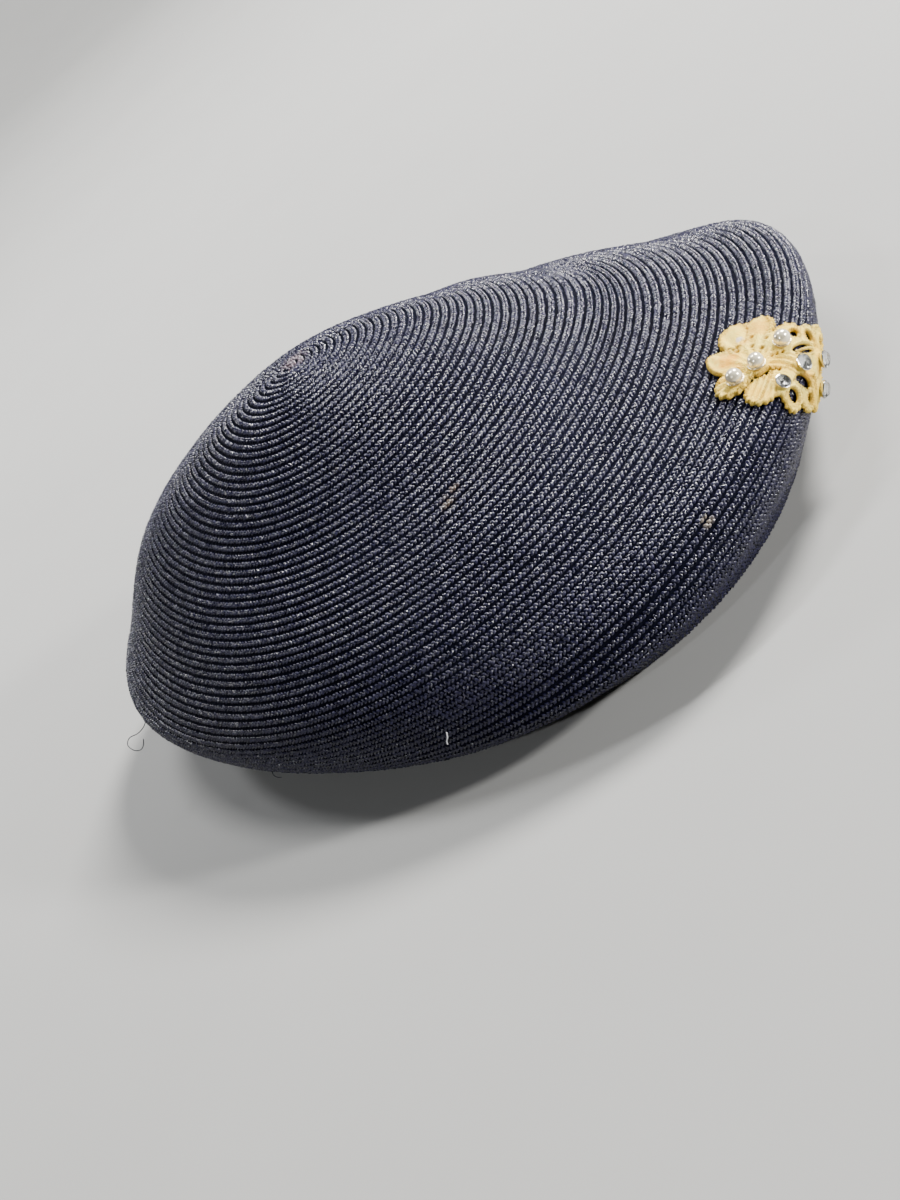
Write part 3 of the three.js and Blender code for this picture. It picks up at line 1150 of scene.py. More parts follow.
def ring_faces(rings: int, sides: int) -> list[tuple[int, ...]]:
    """Faces of a closed body through rings of corners with a pole at each end.

    Args:
        rings: How many rings there are.
        sides: How many corners each has.

    Returns:
        The faces, pointing outwards where the rings run outwards and down.
    """
    end = 1 + rings * sides
    faces: list[tuple[int, ...]] = []
    for side in range(sides):
        after = (side + 1) % sides
        faces.append((0, 1 + side, 1 + after))
        for ring in range(1, rings):
            above = 1 + (ring - 1) * sides
            below = above + sides
            faces.append((above + side, below + side, below + after, above + after))
        last = end - sides
        faces.append((last + side, end, last + after))
    return faces


# The lace


class Relief(Enum):
    """How a part of the lace is worked."""

    FAN = "fan"
    RIDGE = "ridge"
    RIBS_ALONG = "ribs along the rows"
    RIBS_OUT = "ribs across the rows"
    PLAIN = "plain"


@dataclass(frozen=True)
class Leaf:
    """A part of the lace in millimetres from the motif's heart: out across the rows, and along them."""

    out: float
    along: float
    half_out: float
    half_along: float
    turn: float = 0.0
    point: float = 0.0
    scallops: int = 0
    relief: Relief = Relief.PLAIN

    def local(self, out: Array, along: Array) -> tuple[Array, Array]:
        """How far places lie along the leaf's own two axes."""
        turn = math.radians(self.turn)
        across = (out - self.out) * math.cos(turn) + (along - self.along) * math.sin(turn)
        beside = (along - self.along) * math.cos(turn) - (out - self.out) * math.sin(turn)
        return across, beside


LEAVES = (
    Leaf(-1.4, 4.2, 5.4, 7.6, 0, 0, 0, Relief.FAN),
    Leaf(-7.2, 4.1, 6.3, 4.2, -19, 0.4, 0, Relief.RIDGE),
    Leaf(-7.6, 13.4, 3.9, 4.8, 0, 0, 15, Relief.FAN),
    Leaf(-2.5, 14.0, 3.7, 4.6, 0, 0, 15, Relief.FAN),
    Leaf(-4.5, -3.4, 3.8, 5, 0, 0, 15, Relief.FAN),
    Leaf(3.2, -7.4, 4.0, 4.4, 0, 0, 15, Relief.RIBS_ALONG),
    Leaf(6.4, 1.3, 6.4, 2.9, 6, 0, 0, Relief.RIBS_OUT),
    Leaf(12.6, 4.8, 5.4, 3, 38),
    Leaf(5, 8.4, 4.8, 5.6, 0, 0, 16),
    Leaf(11.4, 11.6, 3.9, 4.2, 0, 0, 13),
    Leaf(17, 16.6, 4, 4.2, 0, 0, 13),
    Leaf(7.6, -4, 4, 4.4, 0, 0, 13),
    Leaf(11.8, -5.2, 4, 4.2, 0, 0, 13),
    Leaf(17.6, 0.4, 5.6, 3.6, 38, 0, 15),
    Leaf(17.8, 10.4, 4.8, 4.6, 0, 0, 15),
    Leaf(23.2, 7.8, 4.6, 4.8, 0, 0, 15),
)
HOLES = (
    Leaf(6.5, 10.7, 1.3, 1.2),
    Leaf(11.4, 12.7, 1.8, 1.4),
    Leaf(17.4, 17.2, 1.2, 1.2),
    Leaf(10.5, 7.9, 4.2, 1.3, 39),
    Leaf(13.9, 0.4, 4.2, 1.4, 31),
    Leaf(11.9, -5.6, 2.1, 1.7, 20),
    Leaf(18.7, 0.3, 2.2, 1.4, 38),
)
PIN_HOLES = (
    (-7.0, 8.1),
    (-5.9, 7.2),
    (-2.8, 7.8),
    (-3.5, 11.4),
    (-0.3, 6.3),
    (0.0, 9.7),
    (2.5, 3.1),
    (3.5, 3.6),
    (4.8, 4.2),
    (-0.5, -4.1),
    (0.1, -3.0),
    (1.7, -3.3),
    (3.1, -1.1),
    (4.2, -1.1),
    (5.4, -1.3),
)


@dataclass(frozen=True)
class StoneSeat:
    """A stone of the motif: the solid that it stands for, its place and its radius in millimetres."""

    node: str
    out: float
    along: float
    radius: float


PEARLS = (
    StoneSeat("pearl_heart", 0, 0, 2.1),
    StoneSeat("pearl_near_petal", -3.6, -4, 2.1),
    StoneSeat("pearl_far_loop", 4.2, 6.8, 2.1),
)
CRYSTALS = (
    StoneSeat("crystal_near_seat", 7.3, -5.5, 1.8),
    StoneSeat("crystal_bar", 10.5, 2.4, 2.1),
    StoneSeat("crystal_front_far", 17.9, 11.5, 2.1),
    StoneSeat("crystal_front_near", 22.5, 7.4, 2.1),
)


@dataclass
class LaceMotif:
    """The pierced lace on the front of the brim, with sizes in millimetres."""

    crown: CrownForm
    row: float = 50.9
    angle: float = math.radians(-19.1)
    row_pitch: float = 2.65
    radius: float = 103.0
    cell: float = 0.22
    margin: float = 2.0
    clearance: float = 0.3
    sunk: float = 0.1
    thin: float = 0.35
    body: float = 0.5
    round_edge: float = 0.6
    gimp: float = 0.12
    gimp_inset: float = 0.6
    gimp_width: float = 0.35
    rib_height: float = 0.28
    rib_inset: float = 0.5
    rib_fade: float = 0.6
    rib_along: float = 1.365
    rib_out: float = 1.68
    fan_ribs: int = 22
    fan_back: float = 0.4
    ridge_width: float = 1.1
    ridge_range: tuple[float, float] = (-0.6, 1.4)
    leaf_fade: float = 1.5
    least_weight: float = 0.001
    groove: float = 0.3
    groove_width: float = 0.4
    groove_fade: float = 0.3
    seat_height: float = 1.4
    seat_reach: float = 2.3
    pin_radius: float = 0.36
    merge: float = 0.14
    farthest: float = 9.0
    scallop_depth: float = 0.06
    uneven: float = 0.035
    # Shares of painted shade at the edge, between ribs and along partings; stitches get random tone.
    edge_shade: float = 0.3
    rib_shade: float = 0.3
    groove_shade: float = 0.5
    stitch_shade: float = 0.5
    stitch_inset: float = 0.42
    shortest_edge: float = 5.0
    smooth_rounds: int = 3
    snap_rounds: int = 3
    snap_probe: float = 0.02
    snap_share: float = 0.8
    flattest: float = 0.25
    seed: int = 11
    stitch: StrandStyle = StrandStyle(
        spacing=0.62 * MM,
        length=0.85 * MM,
        width=0.46 * MM,
        height=0.36 * MM,
        lift=0.08 * MM,
        side=0.0,
        slant=math.radians(72),
        roll=0.0,
        tuck=0.0,
        pitch=1.0 * MM,
        jitter=0.05 * MM,
        sway=math.radians(14),
        two_lines=False,
        seed=5,
    )

    def place(self, out: Array, along: Array) -> tuple[Array, Array]:
        """The crown's row and angle at a place on the motif."""
        return self.row + np.asarray(out) / self.row_pitch, self.angle + np.asarray(along) / self.radius

    def laid(self, out: Array, along: Array, height: Array | float) -> Array:
        """Points on the motif, a height in millimetres above the straw's crests."""
        return self.crown.raised(*self.place(out, along), np.broadcast_to(height, np.shape(out)))

    def _inside(self, leaf: Leaf, out: Array, along: Array) -> Array:
        """About how far inside a leaf's edge a place lies, in millimetres, negative outside."""
        across, beside = leaf.local(out, along)
        power = 2 / (1 + leaf.point)
        share = np.sqrt((across / leaf.half_out) ** 2 + np.abs(beside / leaf.half_along) ** power)
        if leaf.scallops:
            share = share * (1 + self.scallop_depth * np.cos(leaf.scallops * np.arctan2(beside, across)))
        reach = np.hypot(across, beside)
        middle = min(leaf.half_out, leaf.half_along)
        return np.where(share > TINY, reach / np.maximum(share, TINY) - reach, middle)

    def depth(self, out: Array, along: Array) -> Array:
        """How far inside the lace's outline a place lies, in millimetres, negative outside or in a hole."""
        leaves = np.stack([self._inside(leaf, out, along) for leaf in LEAVES])
        leaves = np.clip(leaves, -self.farthest, self.farthest)
        joined = self.merge * np.log(np.exp(leaves / self.merge).sum(axis=0))
        for hole in HOLES:
            joined = np.minimum(joined, -self._inside(hole, out, along))
        for pin_out, pin_along in PIN_HOLES:
            joined = np.minimum(joined, np.hypot(out - pin_out, along - pin_along) - self.pin_radius)
        return joined

    def _worked(self, out: Array, along: Array) -> Array:
        """The ribs and ridges of the leaves, about from -1 to 1."""
        pattern = np.zeros_like(out)
        weight = np.full_like(out, self.least_weight)
        valley, crest = self.ridge_range
        for leaf in LEAVES:
            share = np.clip(self._inside(leaf, out, along), 0.0, self.leaf_fade)
            if leaf.relief is Relief.FAN:
                wave = np.cos(self.fan_ribs * np.arctan2(along, out + self.fan_back))
            elif leaf.relief is Relief.RIDGE:
                _, beside = leaf.local(out, along)
                wave = valley + (crest - valley) * np.exp(-((beside / self.ridge_width) ** 2))
            elif leaf.relief is Relief.RIBS_ALONG:
                wave = np.cos(math.tau * (out - leaf.out) / self.rib_along)
            elif leaf.relief is Relief.RIBS_OUT:
                wave = np.cos(math.tau * (along - leaf.along) / self.rib_out)
            else:
                wave = np.zeros_like(out)
            pattern += share * wave
            weight += share
        return pattern / weight

    def _parting(self, out: Array, along: Array) -> Array:
        """How near a place lies to the line between two leaves, from 0 to 1. The heart parts from none."""
        leaves = np.sort(np.stack([self._inside(leaf, out, along) for leaf in LEAVES[1:]]), axis=0)
        lead = (leaves[-1] - leaves[-2]) / self.groove_width
        return np.exp(-(lead**2)) * np.clip(leaves[-2] / self.groove_fade, 0.0, 1.0)

    def _crevice(self, out: Array, along: Array, depth: Array) -> Array:
        """Painted shade at the lace's edges, between its ribs and along its partings, from 0 to 1."""
        edge = self.edge_shade * np.clip(1 - depth / self.rib_inset, 0.0, 1.0)
        ribs = self.rib_shade * np.clip(-self._worked(out, along), 0.0, 1.0)
        return np.clip(edge + ribs + self.groove_shade * self._parting(out, along), 0.0, 1.0)

    def thickness(self, out: Array, along: Array, depth: Array) -> Array:
        """How thick the lace is, in millimetres.

        Args:
            out: Places across the rows.
            along: Places along the rows.
            depth: How far inside the outline they lie.

        Returns:
            The thickness at each place.
        """
        edge = np.clip(depth / self.round_edge, 0.0, 1.0)
        made = self.thin + self.body * np.sqrt(1 - (1 - edge) ** 2)
        made = made + self.gimp * np.exp(-(((depth - self.gimp_inset) / self.gimp_width) ** 2))
        inner = np.clip((depth - self.rib_inset) / self.rib_fade, 0.0, 1.0)
        made = made + self.rib_height * inner * self._worked(out, along)
        made = made - self.groove * inner * self._parting(out, along)
        for seat in PEARLS + CRYSTALS:
            near = np.exp(-((np.hypot(out - seat.out, along - seat.along) / self.seat_reach) ** 6))
            made = made + near * (self.seat_height - made)
        draws = np.random.default_rng(self.seed).normal(size=made.shape)
        return made + self.uneven * draws * edge

    def build(self, material: bpy.types.Material) -> tuple[bpy.types.Object, list[Path]]:
        """The lace as one closed sheet, laid over the brim and its edge.

        Args:
            material: The lace's material.

        Returns:
            The sheet, and the paths of its edges for the stitches.
        """
        low_out = min(leaf.out - max(leaf.half_out, leaf.half_along) for leaf in LEAVES) - self.margin
        high_out = max(leaf.out + leaf.half_out for leaf in LEAVES) + self.margin
        low_along = min(leaf.along - leaf.half_along for leaf in LEAVES) - self.margin
        high_along = max(leaf.along + leaf.half_along for leaf in LEAVES) + self.margin
        outs = np.arange(low_out, high_out, self.cell)
        alongs = np.arange(low_along, high_along, self.cell)
        out, along = np.meshgrid(outs, alongs, indexing="ij")
        half = self.cell / 2
        filled = self.depth(out[:-1, :-1] + half, along[:-1, :-1] + half) > 0
        numbers = np.arange(out.size).reshape(out.shape)
        squares = [numbers[:-1, :-1], numbers[1:, :-1], numbers[1:, 1:], numbers[:-1, 1:]]
        corners = np.stack(squares, axis=-1)[filled]
        used, faces = np.unique(corners, return_inverse=True)
        faces = faces.reshape(corners.shape)
        out, along = out.ravel()[used], along.ravel()[used]
        edges = np.concatenate([faces[:, [i, (i + 1) % 4]] for i in range(4)])
        keys = np.sort(edges, axis=1)
        _, first, counts = np.unique(keys, axis=0, return_index=True, return_counts=True)
        border = edges[first[counts == 1]]
        out, along = self._snapped(out, along, np.unique(border))
        depth = np.clip(self.depth(out, along), 0.0, None)
        thick = self.thickness(out, along, depth)
        top = self.laid(out, along, self.clearance + thick)
        bottom = self.laid(out, along, self.clearance - self.sunk)
        count = len(out)
        over = [tuple(face) for face in faces.tolist()]
        under = [tuple(i + count for i in face[::-1]) for face in over]
        walls = [(int(b), int(a), int(a) + count, int(b) + count) for a, b in border]
        made = mesh_object("lace_sheet", np.concatenate([top, bottom]), over + under + walls)
        smooth_faces(made)
        lay_uv(made, np.tile(np.stack([out, along], axis=-1), (2, 1)))
        # Painted shade in the hollows, the same on top and beneath.
        lay_painted_shade_and_tone(made, np.tile(self._crevice(out, along, depth), 2))
        made.data.materials.append(material)
        return made, self._edge_paths(border, out, along)

    def _snapped(self, out: Array, along: Array, border: Array) -> tuple[Array, Array]:
        """Move the outermost corners of the sheet onto its outline."""
        step = self.snap_probe
        for _ in range(self.snap_rounds):
            here = self.depth(out[border], along[border])
            by_out = (self.depth(out[border] + step, along[border]) - here) / step
            by_along = (self.depth(out[border], along[border] + step) - here) / step
            steep = np.maximum(by_out**2 + by_along**2, self.flattest)
            pull = np.clip(here / steep, -self.cell, self.cell) * self.snap_share
            out[border] -= pull * by_out
            along[border] -= pull * by_along
        return out, along

    def _edge_paths(self, border: Array, out: Array, along: Array) -> list[Path]:
        """Closed paths a little inside every edge of the lace, the pin holes' left out."""
        following = {int(a): int(b) for a, b in border}
        paths = []
        while following:
            start, here = following.popitem()
            loop = [start]
            while here != start and here in following:
                loop.append(here)
                here = following.pop(here)
            if len(loop) * self.cell < self.shortest_edge:
                continue
            place = np.stack([out[loop], along[loop]], axis=-1)
            for _ in range(self.smooth_rounds):
                place = (np.roll(place, 1, axis=0) + 2 * place + np.roll(place, -1, axis=0)) / 4
            way = unit(np.roll(place, -1, axis=0) - np.roll(place, 1, axis=0))
            inner = place + np.stack([-way[:, 1], way[:, 0]], axis=-1) * self.stitch_inset
            height = self.clearance + self.thin + self.stitch_inset
            points = self.laid(inner[:, 0], inner[:, 1], height)
            up = self.crown.normal(*self.place(inner[:, 0], inner[:, 1]))
            run = unit(np.roll(points, -1, axis=0) - np.roll(points, 1, axis=0))
            paths.append(Path(points, up, run, np.full(len(points), self.stitch.pitch), closed=True))
        return paths

    def stitches(self, tree: StrandTree, paths: list[Path], material: bpy.types.Material) -> bpy.types.Object:
        """Overcast stitches round every edge of the lace.

        Args:
            tree: The node tree that lays strands.
            paths: The edges.
            material: The lace's material.

        Returns:
            The stitches as one mesh.
        """
        made = tree.lay("lace_edge_stitches", paths, self.stitch, material)
        # Each stitch darker by a random share: a random tone.
        shade = np.zeros(len(made.data.vertices), np.float32)
        made.data.attributes["strand"].data.foreach_get("value", shade)
        lay_painted_shade_and_tone(made, self.stitch_shade * shade)
        return made


# The stones


Profile = tuple[tuple[float, float], ...]

# Reach and height of each ring in shares of the stone's radius, and the share of a step that a ring is turned
PEARL_CUP: Profile = ((0.97, 0.16), (1.03, 0.2), (1.06, 0.12), (1.0, 0.0), (0.0, 0.0))
GEM_CUT: Profile = (
    (0.0, 0.94),
    (0.54, 0.94),
    (0.8, 0.76),
    (0.97, 0.5),
    (0.97, 0.42),
    (0.55, 0.2),
    (0.0, 0.12),
)
GEM_TURNS = (0.0, 0.5, 0.0, 0.0, 0.5)
GEM_CUP: Profile = (
    (0.0, 0.1),
    (0.58, 0.17),
    (0.98, 0.38),
    (1.0, 0.46),
    (1.06, 0.44),
    (1.06, 0.3),
    (0.8, 0.0),
    (0.0, 0.0),
)


@dataclass
class StoneSet:
    """The pearls and cut stones on the lace.

    Their seat is in millimetres above the straw. A pearl's size and middle are in shares of its radius, and
    its foot is an angle below the middle.
    """

    motif: LaceMotif
    seat: float = 1.8
    pearl_sides: int = 48
    pearl_rings: int = 22
    pearl_size: float = 0.98
    pearl_middle: float = 0.52
    pearl_foot: float = -0.35
    crystal_sides: int = 12

    def _place(self, stone: StoneSeat, points: Array) -> Array:
        """Points of a stone, in shares of its radius from its base, set square on the lace."""
        row, angle = self.motif.place(stone.out, stone.along)
        up = self.motif.crown.normal(row, angle)
        across = unit(self.motif.crown.across(row, angle))
        along = np.cross(up, across)
        base = self.motif.laid(np.array(stone.out), np.array(stone.along), self.seat)
        return base + (points * stone.radius * MM) @ np.stack([across, along, up])

    def _turned(
        self,
        name: str,
        stone: StoneSeat,
        profile: Profile,
        sides: int,
        twist: tuple[float, ...] | None = None,
    ) -> bpy.types.Object:
        """A body turned from a profile.

        Args:
            name: The piece's name.
            stone: Where it sits.
            profile: Reach and height of each ring from the top to the base, poles first and last.
            sides: Corners of each ring.
            twist: The share of a step by which each ring is turned.

        Returns:
            The linked object.
        """
        step = math.tau / sides
        rings = []
        for number, (reach, height) in enumerate(profile[1:-1]):
            shift = twist[number] if twist else 0.0
            rings.append(level_ring(reach, height, (np.arange(sides) + shift) * step))
        poles = [np.array([[0.0, 0.0, profile[0][1]]]), np.array([[0.0, 0.0, profile[-1][1]]])]
        points = np.concatenate([poles[0], *rings, poles[1]])
        return mesh_object(name, self._place(stone, points), ring_faces(len(rings), sides))

    def pearl(self, stone: StoneSeat, pearl: bpy.types.Material, cup: bpy.types.Material) -> bpy.types.Object:
        """A pearl sunk in a slim cup.

        Args:
            stone: Where it sits.
            pearl: The pearl's material.
            cup: The cup's material.

        Returns:
            The finished object.
        """
        bend = np.linspace(math.pi / 2, self.pearl_foot, self.pearl_rings)
        size = self.pearl_size
        ball = [(size * math.cos(a), self.pearl_middle + size * math.sin(a)) for a in bend]
        profile = ((0.0, ball[0][1]), *ball[1:], *PEARL_CUP)
        made = self._turned(stone.node + "_lustre", stone, profile, self.pearl_sides)
        smooth_faces(made)
        made.data.materials.append(pearl)
        made.data.materials.append(cup)
        self._paint(made, self.pearl_sides, len(ball) - 1)
        return made

    def _paint(self, made: bpy.types.Object, sides: int, stone_rings: int) -> None:
        """Give the faces below the stone's own rings the second material."""
        per_side = len(made.data.polygons) // sides
        index = np.zeros(len(made.data.polygons), np.int32)
        for side in range(sides):
            index[side * per_side + stone_rings:(side + 1) * per_side] = 1
        made.data.polygons.foreach_set("material_index", index)

    def crystal(
        self, stone: StoneSeat, glass: bpy.types.Material, cup: bpy.types.Material
    ) -> list[bpy.types.Object]:
        """A cut stone: a glass crown over its cup and foil.

        Args:
            stone: Where it sits.
            glass: The stone's material.
            cup: The material of the cup and foil.

        Returns:
            The stone and its cup.
        """
        gem = self._turned(stone.node + "_cut", stone, GEM_CUT, self.crystal_sides, GEM_TURNS)
        gem.data.materials.append(glass)
        holder = self._turned(stone.node + "_cup", stone, GEM_CUP, 2 * self.crystal_sides)
        holder.data.materials.append(cup)
        return [gem, holder]


# Marks of use


@dataclass(frozen=True)
class Fibre:
    """A loose thread or lint: its start by row and degrees, and its way in millimetres.

    The way goes along the rows, across them and up.
    """

    name: str
    row: float
    angle: float
    thickness: float
    way: tuple[tuple[float, float, float], ...]


LOOSE_THREAD = Fibre(
    name="loose_thread",
    row=46.5,
    angle=-145.0,
    thickness=0.26,
    way=(
        (0, 0, -0.2),
        (-0.6, 1.2, 1.4),
        (-1.2, 1.8, 3.6),
        (-1.0, 1.4, 6.2),
        (0.2, 2.6, 7.8),
        (1.6, 4.6, 7.2),
        (1.4, 5.6, 5.6),
        (0.2, 5.2, 4.2),
        (-0.8, 4.0, 3.2),
    ),
)
THREAD_END = Fibre(
    name="thread_end",
    row=53.3,
    angle=-117.5,
    thickness=0.26,
    way=((0, 0, -0.2), (0.2, 0.6, 0.8), (0.4, 1.7, 1.2), (0.9, 2.6, 1.1)),
)
LINT = Fibre(
    name="white_lint",
    row=53.7,
    angle=-86.0,
    thickness=0.32,
    way=((-1.9, 0.6, 0.2), (-0.7, 0.1, 0.5), (0.6, 0.0, 0.55), (1.9, -0.6, 0.35)),
)


@dataclass
class LooseFibres:
    """Threads and lint on the straw."""

    crown: CrownForm
    sides: int = 6
    steps: int = 6
    lean: float = 0.3

    def build(self, fibre: Fibre, material: bpy.types.Material) -> bpy.types.Object:
        """One fibre as a thin closed tube on a smooth way.

        Args:
            fibre: The fibre.
            material: Its material.

        Returns:
            The finished object.
        """
        row, angle = np.array(fibre.row), np.array(math.radians(fibre.angle))
        up = self.crown.normal(row, angle)
        across = unit(self.crown.across(row, angle))
        along = np.cross(up, across)
        way = self._smoothed(np.array(fibre.way, float) * MM)
        points = self.crown.point(row, angle) + way @ np.stack([along, across, up])
        run = unit(np.gradient(points, axis=0))
        beside = unit(np.cross(run, up + self.lean * across))
        over = np.cross(beside, run)
        turn = np.linspace(0.0, math.tau, self.sides, endpoint=False)
        rings = [
            centre + (np.outer(np.cos(turn), b) + np.outer(np.sin(turn), o)) * fibre.thickness * MM / 2
            for centre, b, o in zip(points, beside, over)
        ]
        tube = np.concatenate([points[:1], *rings, points[-1:]])
        made = mesh_object(fibre.name, tube, ring_faces(len(rings), self.sides))
        smooth_faces(made)
        made.data.materials.append(material)
        return made

    def _smoothed(self, way: Array) -> Array:
        """A smooth curve through the points of a way."""
        share = np.arange(len(way))
        fine = np.linspace(0, len(way) - 1, (len(way) - 1) * self.steps + 1)
        index = np.clip(fine.astype(int), 0, len(way) - 2)
        slopes = np.gradient(way, axis=0)
        t = (fine - share[index])[:, None]
        start, end = way[index], way[index + 1]
        leave, arrive = slopes[index], slopes[index + 1]
        rise = end - start
        return start + t * (leave + t * (3 * rise - 2 * leave - arrive + t * (leave + arrive - 2 * rise)))


# The studio


@dataclass(frozen=True)
class SoftLight:
    """A soft light: its place, the place that it faces and its width in metres, its power and colour."""

    name: str
    place: tuple[float, float, float]
    aim: tuple[float, float, float]
    width: float
    power: float
    colour: tuple[float, float, float]


@dataclass
class Studio:
    """Floor, light and camera."""

    azimuth: float = math.radians(30.7)
    elevation: float = math.radians(29.1)
    roll: float = math.radians(-41.0)
    distance: float = 0.435
    target: tuple[float, float, float] = (-0.0139, -0.0113, -0.0029)
    lens: float = 45.0
    sensor: float = 36.0
    nearest: float = 0.01
    floor_radius: float = 1.8
    floor_shares: tuple[float, ...] = (0.02, 0.15, 0.4, 0.7, 1.0)
    sweep_radius: float = 1.2
    sweep_steps: int = 12
    floor_sides: int = 96
    world: Colour = (0.75, 0.77, 0.80, 1.0)
    world_strength: float = 0.035
    lights: tuple[SoftLight, ...] = (
        SoftLight("overhead_softbox", (0.85, 1.1, 1.2), (0.0, 0.0, 0.03), 0.45, 116.0, (1.0, 0.98, 0.95)),
        SoftLight("front_fill", (1.1, -0.1, 0.4), (0.0, 0.0, 0.03), 0.12, 25.0, (1.0, 0.99, 0.97)),
        SoftLight("near_fill", (-0.2, -1.0, 0.8), (0.0, 0.0, 0.03), 0.08, 4.5, (0.95, 0.97, 1.0)),
        SoftLight("back_strip", (-0.7, 0.3, 0.6), (0.0, 0.0, 0.03), 0.15, 4.0, (0.97, 0.98, 1.0)),
        SoftLight("backdrop_wash", (-0.2, 0.6, 1.7), (-1.3, 2.3, 0.2), 0.8, 100.0, (1.0, 1.0, 1.0)),
    )

    def camera(self) -> bpy.types.Object:
        """The camera at the photograph's angle to the hat."""
        back = Vector(
            (
                math.sin(self.azimuth) * math.cos(self.elevation),
                -math.cos(self.azimuth) * math.cos(self.elevation),
                math.sin(self.elevation),
            )
        )
        right = (-back).cross(Vector((0.0, 0.0, 1.0))).normalized()
        up = right.cross(-back)
        across = math.cos(self.roll) * right + math.sin(self.roll) * up
        rise = -math.sin(self.roll) * right + math.cos(self.roll) * up
        place = Vector(self.target) + back * self.distance
        data = bpy.data.cameras.new("camera")
        data.lens = self.lens
        data.sensor_width = self.sensor
        data.clip_start = self.nearest
        made = bpy.data.objects.new("camera", data)
        made.matrix_world = Matrix(
            (
                (across.x, rise.x, back.x, place.x),
                (across.y, rise.y, back.y, place.y),
                (across.z, rise.z, back.z, place.z),
                (0.0, 0.0, 0.0, 1.0),
            )
        )
        bpy.context.scene.collection.objects.link(made)
        bpy.context.scene.camera = made
        return made

    def light(self) -> None:
        """Place the soft lights and the even light of the room."""
        for soft in self.lights:
            data = bpy.data.lights.new(soft.name, "AREA")
            data.shape = "DISK"
            data.size = soft.width
            data.energy = soft.power
            data.color = soft.colour
            made = bpy.data.objects.new(soft.name, data)
            made.location = soft.place
            away = Vector(soft.place) - Vector(soft.aim)
            made.rotation_euler = away.to_track_quat("Z", "Y").to_euler()
            bpy.context.scene.collection.objects.link(made)
        world = bpy.data.worlds.new("room_light")
        world.use_nodes = True
        sky = world.node_tree.nodes["Background"]
        sky.inputs["Color"].default_value = self.world
        sky.inputs["Strength"].default_value = self.world_strength
        bpy.context.scene.world = world

    def floor(self, material: bpy.types.Material) -> bpy.types.Object:
        """A pale floor that sweeps up into a wall all round."""
        flat = [(self.floor_radius * share, 0.0) for share in self.floor_shares]
        bends = np.linspace(0.0, math.pi / 2, self.sweep_steps + 1)[1:]
        bow = self.sweep_radius
        sweep = [(self.floor_radius + bow * math.sin(a), bow * (1 - math.cos(a))) for a in bends]
        angle = np.linspace(0.0, math.tau, self.floor_sides, endpoint=False)
        rings = [level_ring(reach, height, angle) for reach, height in flat + sweep]
        points = np.concatenate([[[0.0, 0.0, 0.0]], *rings])
        faces = [face for face in ring_faces(len(rings), self.floor_sides) if max(face) < len(points)]
        made = mesh_object("floor", points, faces)
        smooth_faces(made)
        made.data.materials.append(material)
        return made


# Stains by row and angle in degrees, then radius in millimetres, strength and colour
STRAW_MARKS = (
    (1.0, 60.0, 5.0, 0.35, (0.30, 0.22, 0.24, 1.0)),
    (53.7, -43.0, 2.0, 0.6, (0.30, 0.25, 0.20, 1.0)),
    (30.7, -54.0, 2.6, 0.4, (0.14, 0.10, 0.06, 1.0)),
    (30.0, -51.0, 1.8, 0.4, (0.16, 0.11, 0.06, 1.0)),
    (19.1, -70.0, 1.2, 0.5, (0.22, 0.20, 0.18, 1.0)),
)
RUST: Colour = (0.84, 0.33, 0.01, 1.0)
BLUSH: Colour = (0.88, 0.46, 0.08, 1.0)
GLUE: Colour = (0.86, 0.76, 0.70, 1.0)
# Stains by place on the motif, then radius in millimetres, strength and colour
LACE_MARKS = (
    (-7.8, 4.5, 3.6, 0.75, RUST),
    (-4.6, 1.0, 2.0, 0.4, RUST),
    (-2.5, 14.2, 3.2, 0.55, RUST),
    (-5.0, 10.0, 1.7, 0.5, BLUSH),
    (11.0, 12.2, 1.9, 0.5, BLUSH),
    (13.6, 2.6, 3.0, 0.4, BLUSH),
    (19.0, 10.0, 1.8, 0.5, RUST),
    (17.8, -0.6, 1.6, 0.5, RUST),
    (-6.1, 11.5, 1.2, 0.85, GLUE),
)
LACE_MARK_HEIGHT = 1.2


def straw_stains(crown: CrownForm) -> tuple[Stain, ...]:
    """The marks on the straw."""
    return tuple(
        Stain(tuple(crown.point(row, math.radians(angle))), size * MM, amount, colour)
        for row, angle, size, amount, colour in STRAW_MARKS
    )


def lace_stains(motif: LaceMotif) -> tuple[Stain, ...]:
    """The stains on the lace."""
    return tuple(
        Stain(
            tuple(motif.laid(np.array(out), np.array(along), LACE_MARK_HEIGHT)),
            size * MM,
            amount,
            colour,
        )
        for out, along, size, amount, colour in LACE_MARKS
    )


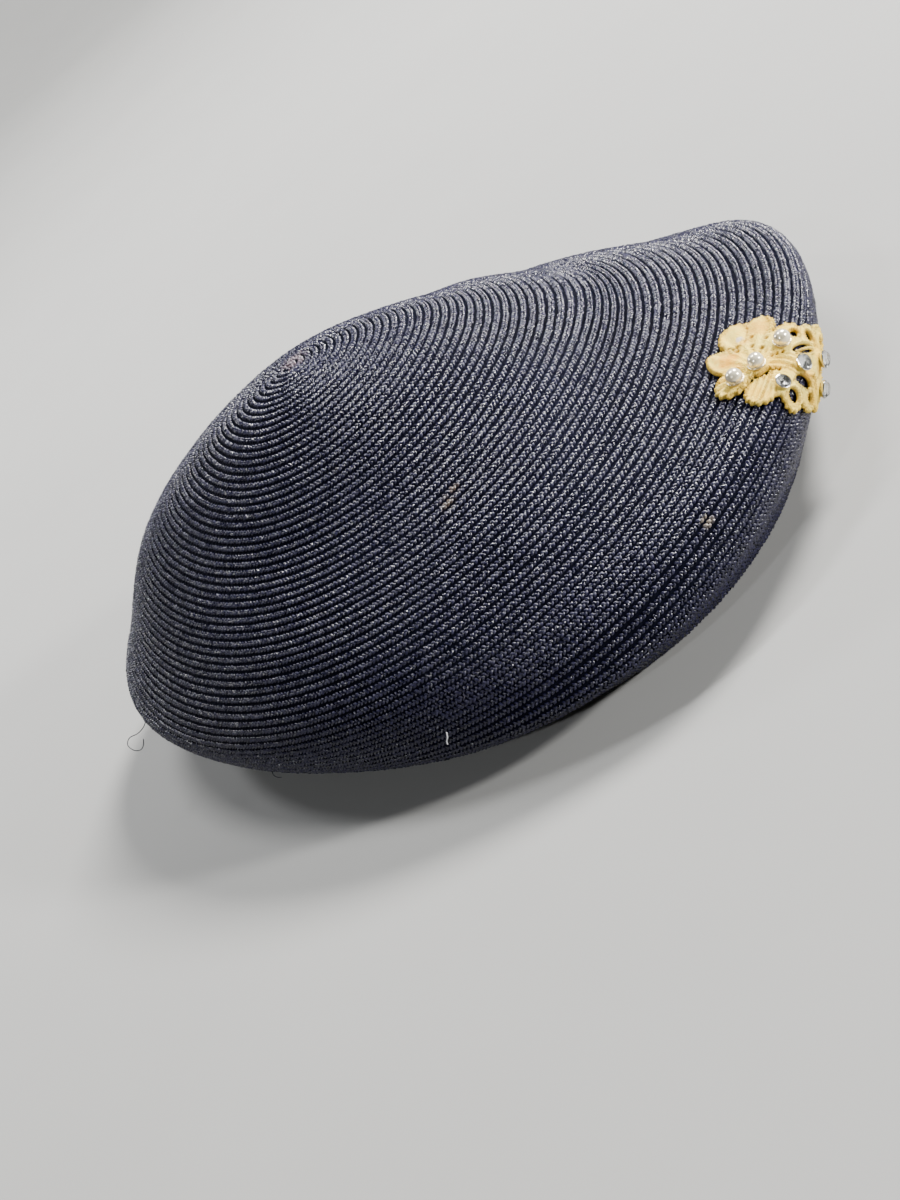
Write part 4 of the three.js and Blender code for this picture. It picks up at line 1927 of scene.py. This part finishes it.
def dress_straw(crown: CrownForm, tree: StrandTree, effects: Effects) -> None:
    """Build the straw in its bands with its backing."""
    shell = BraidedShell(crown)
    strands = StrawFinish(stains=straw_stains(crown)).material(effects)
    # The backing is nearly black, as painted shadow in the gaps between the rows.
    finish_piece(shell.backing(PaintedShadowBacking().material(effects)), Slot.STRAW, "braid_crown")
    for band in shell.bands(tree, strands):
        finish_piece(band, Slot.STRAW, "braid_crown")


def dress_motif(crown: CrownForm, tree: StrandTree, effects: Effects) -> None:
    """Build the lace with its stitches and stones."""
    motif = LaceMotif(crown)
    cotton = LaceFinish(stains=lace_stains(motif)).material(effects)
    sheet, edges = motif.build(cotton)
    finish_piece(sheet, Slot.LACE, "lace_motif")
    finish_piece(motif.stitches(tree, edges, cotton), Slot.LACE, "lace_motif")
    stones = StoneSet(motif)
    pearl = PEARL_LUSTRE.material(effects)
    cup = PALE_CUP.material(effects)
    foil = SILVER_FOIL.material(effects)
    glass = GlassFinish().material(effects)
    for seat in PEARLS:
        finish_piece(stones.pearl(seat, pearl, cup), Slot.PEARL, seat.node)
    for seat in CRYSTALS:
        for piece in stones.crystal(seat, glass, foil):
            finish_piece(piece, Slot.CRYSTAL, seat.node)


def dress_marks(crown: CrownForm, effects: Effects) -> None:
    """Build the loose threads and the lint."""
    fibres = LooseFibres(crown)
    dark = NAVY_THREAD.material(effects)
    white = WHITE_FIBRE.material(effects)
    finish_piece(fibres.build(LOOSE_THREAD, dark), Slot.STRAW)
    finish_piece(fibres.build(THREAD_END, dark), Slot.STRAW)
    finish_piece(fibres.build(LINT, white), Slot.STRAW)


def main() -> None:
    """Build the hat piece by piece, then the studio, and note the sizes."""
    logging.basicConfig(level=logging.INFO, format="%(name)s %(message)s")
    effects = Effects()
    crown = CrownForm()
    tree = StrandTree()
    dress_straw(crown, tree, effects)
    dress_motif(crown, tree, effects)
    dress_marks(crown, effects)
    studio = Studio()
    studio.floor(PALE_FLOOR.material(effects))
    studio.light()
    studio.camera()


if __name__ == "__main__":
    main()
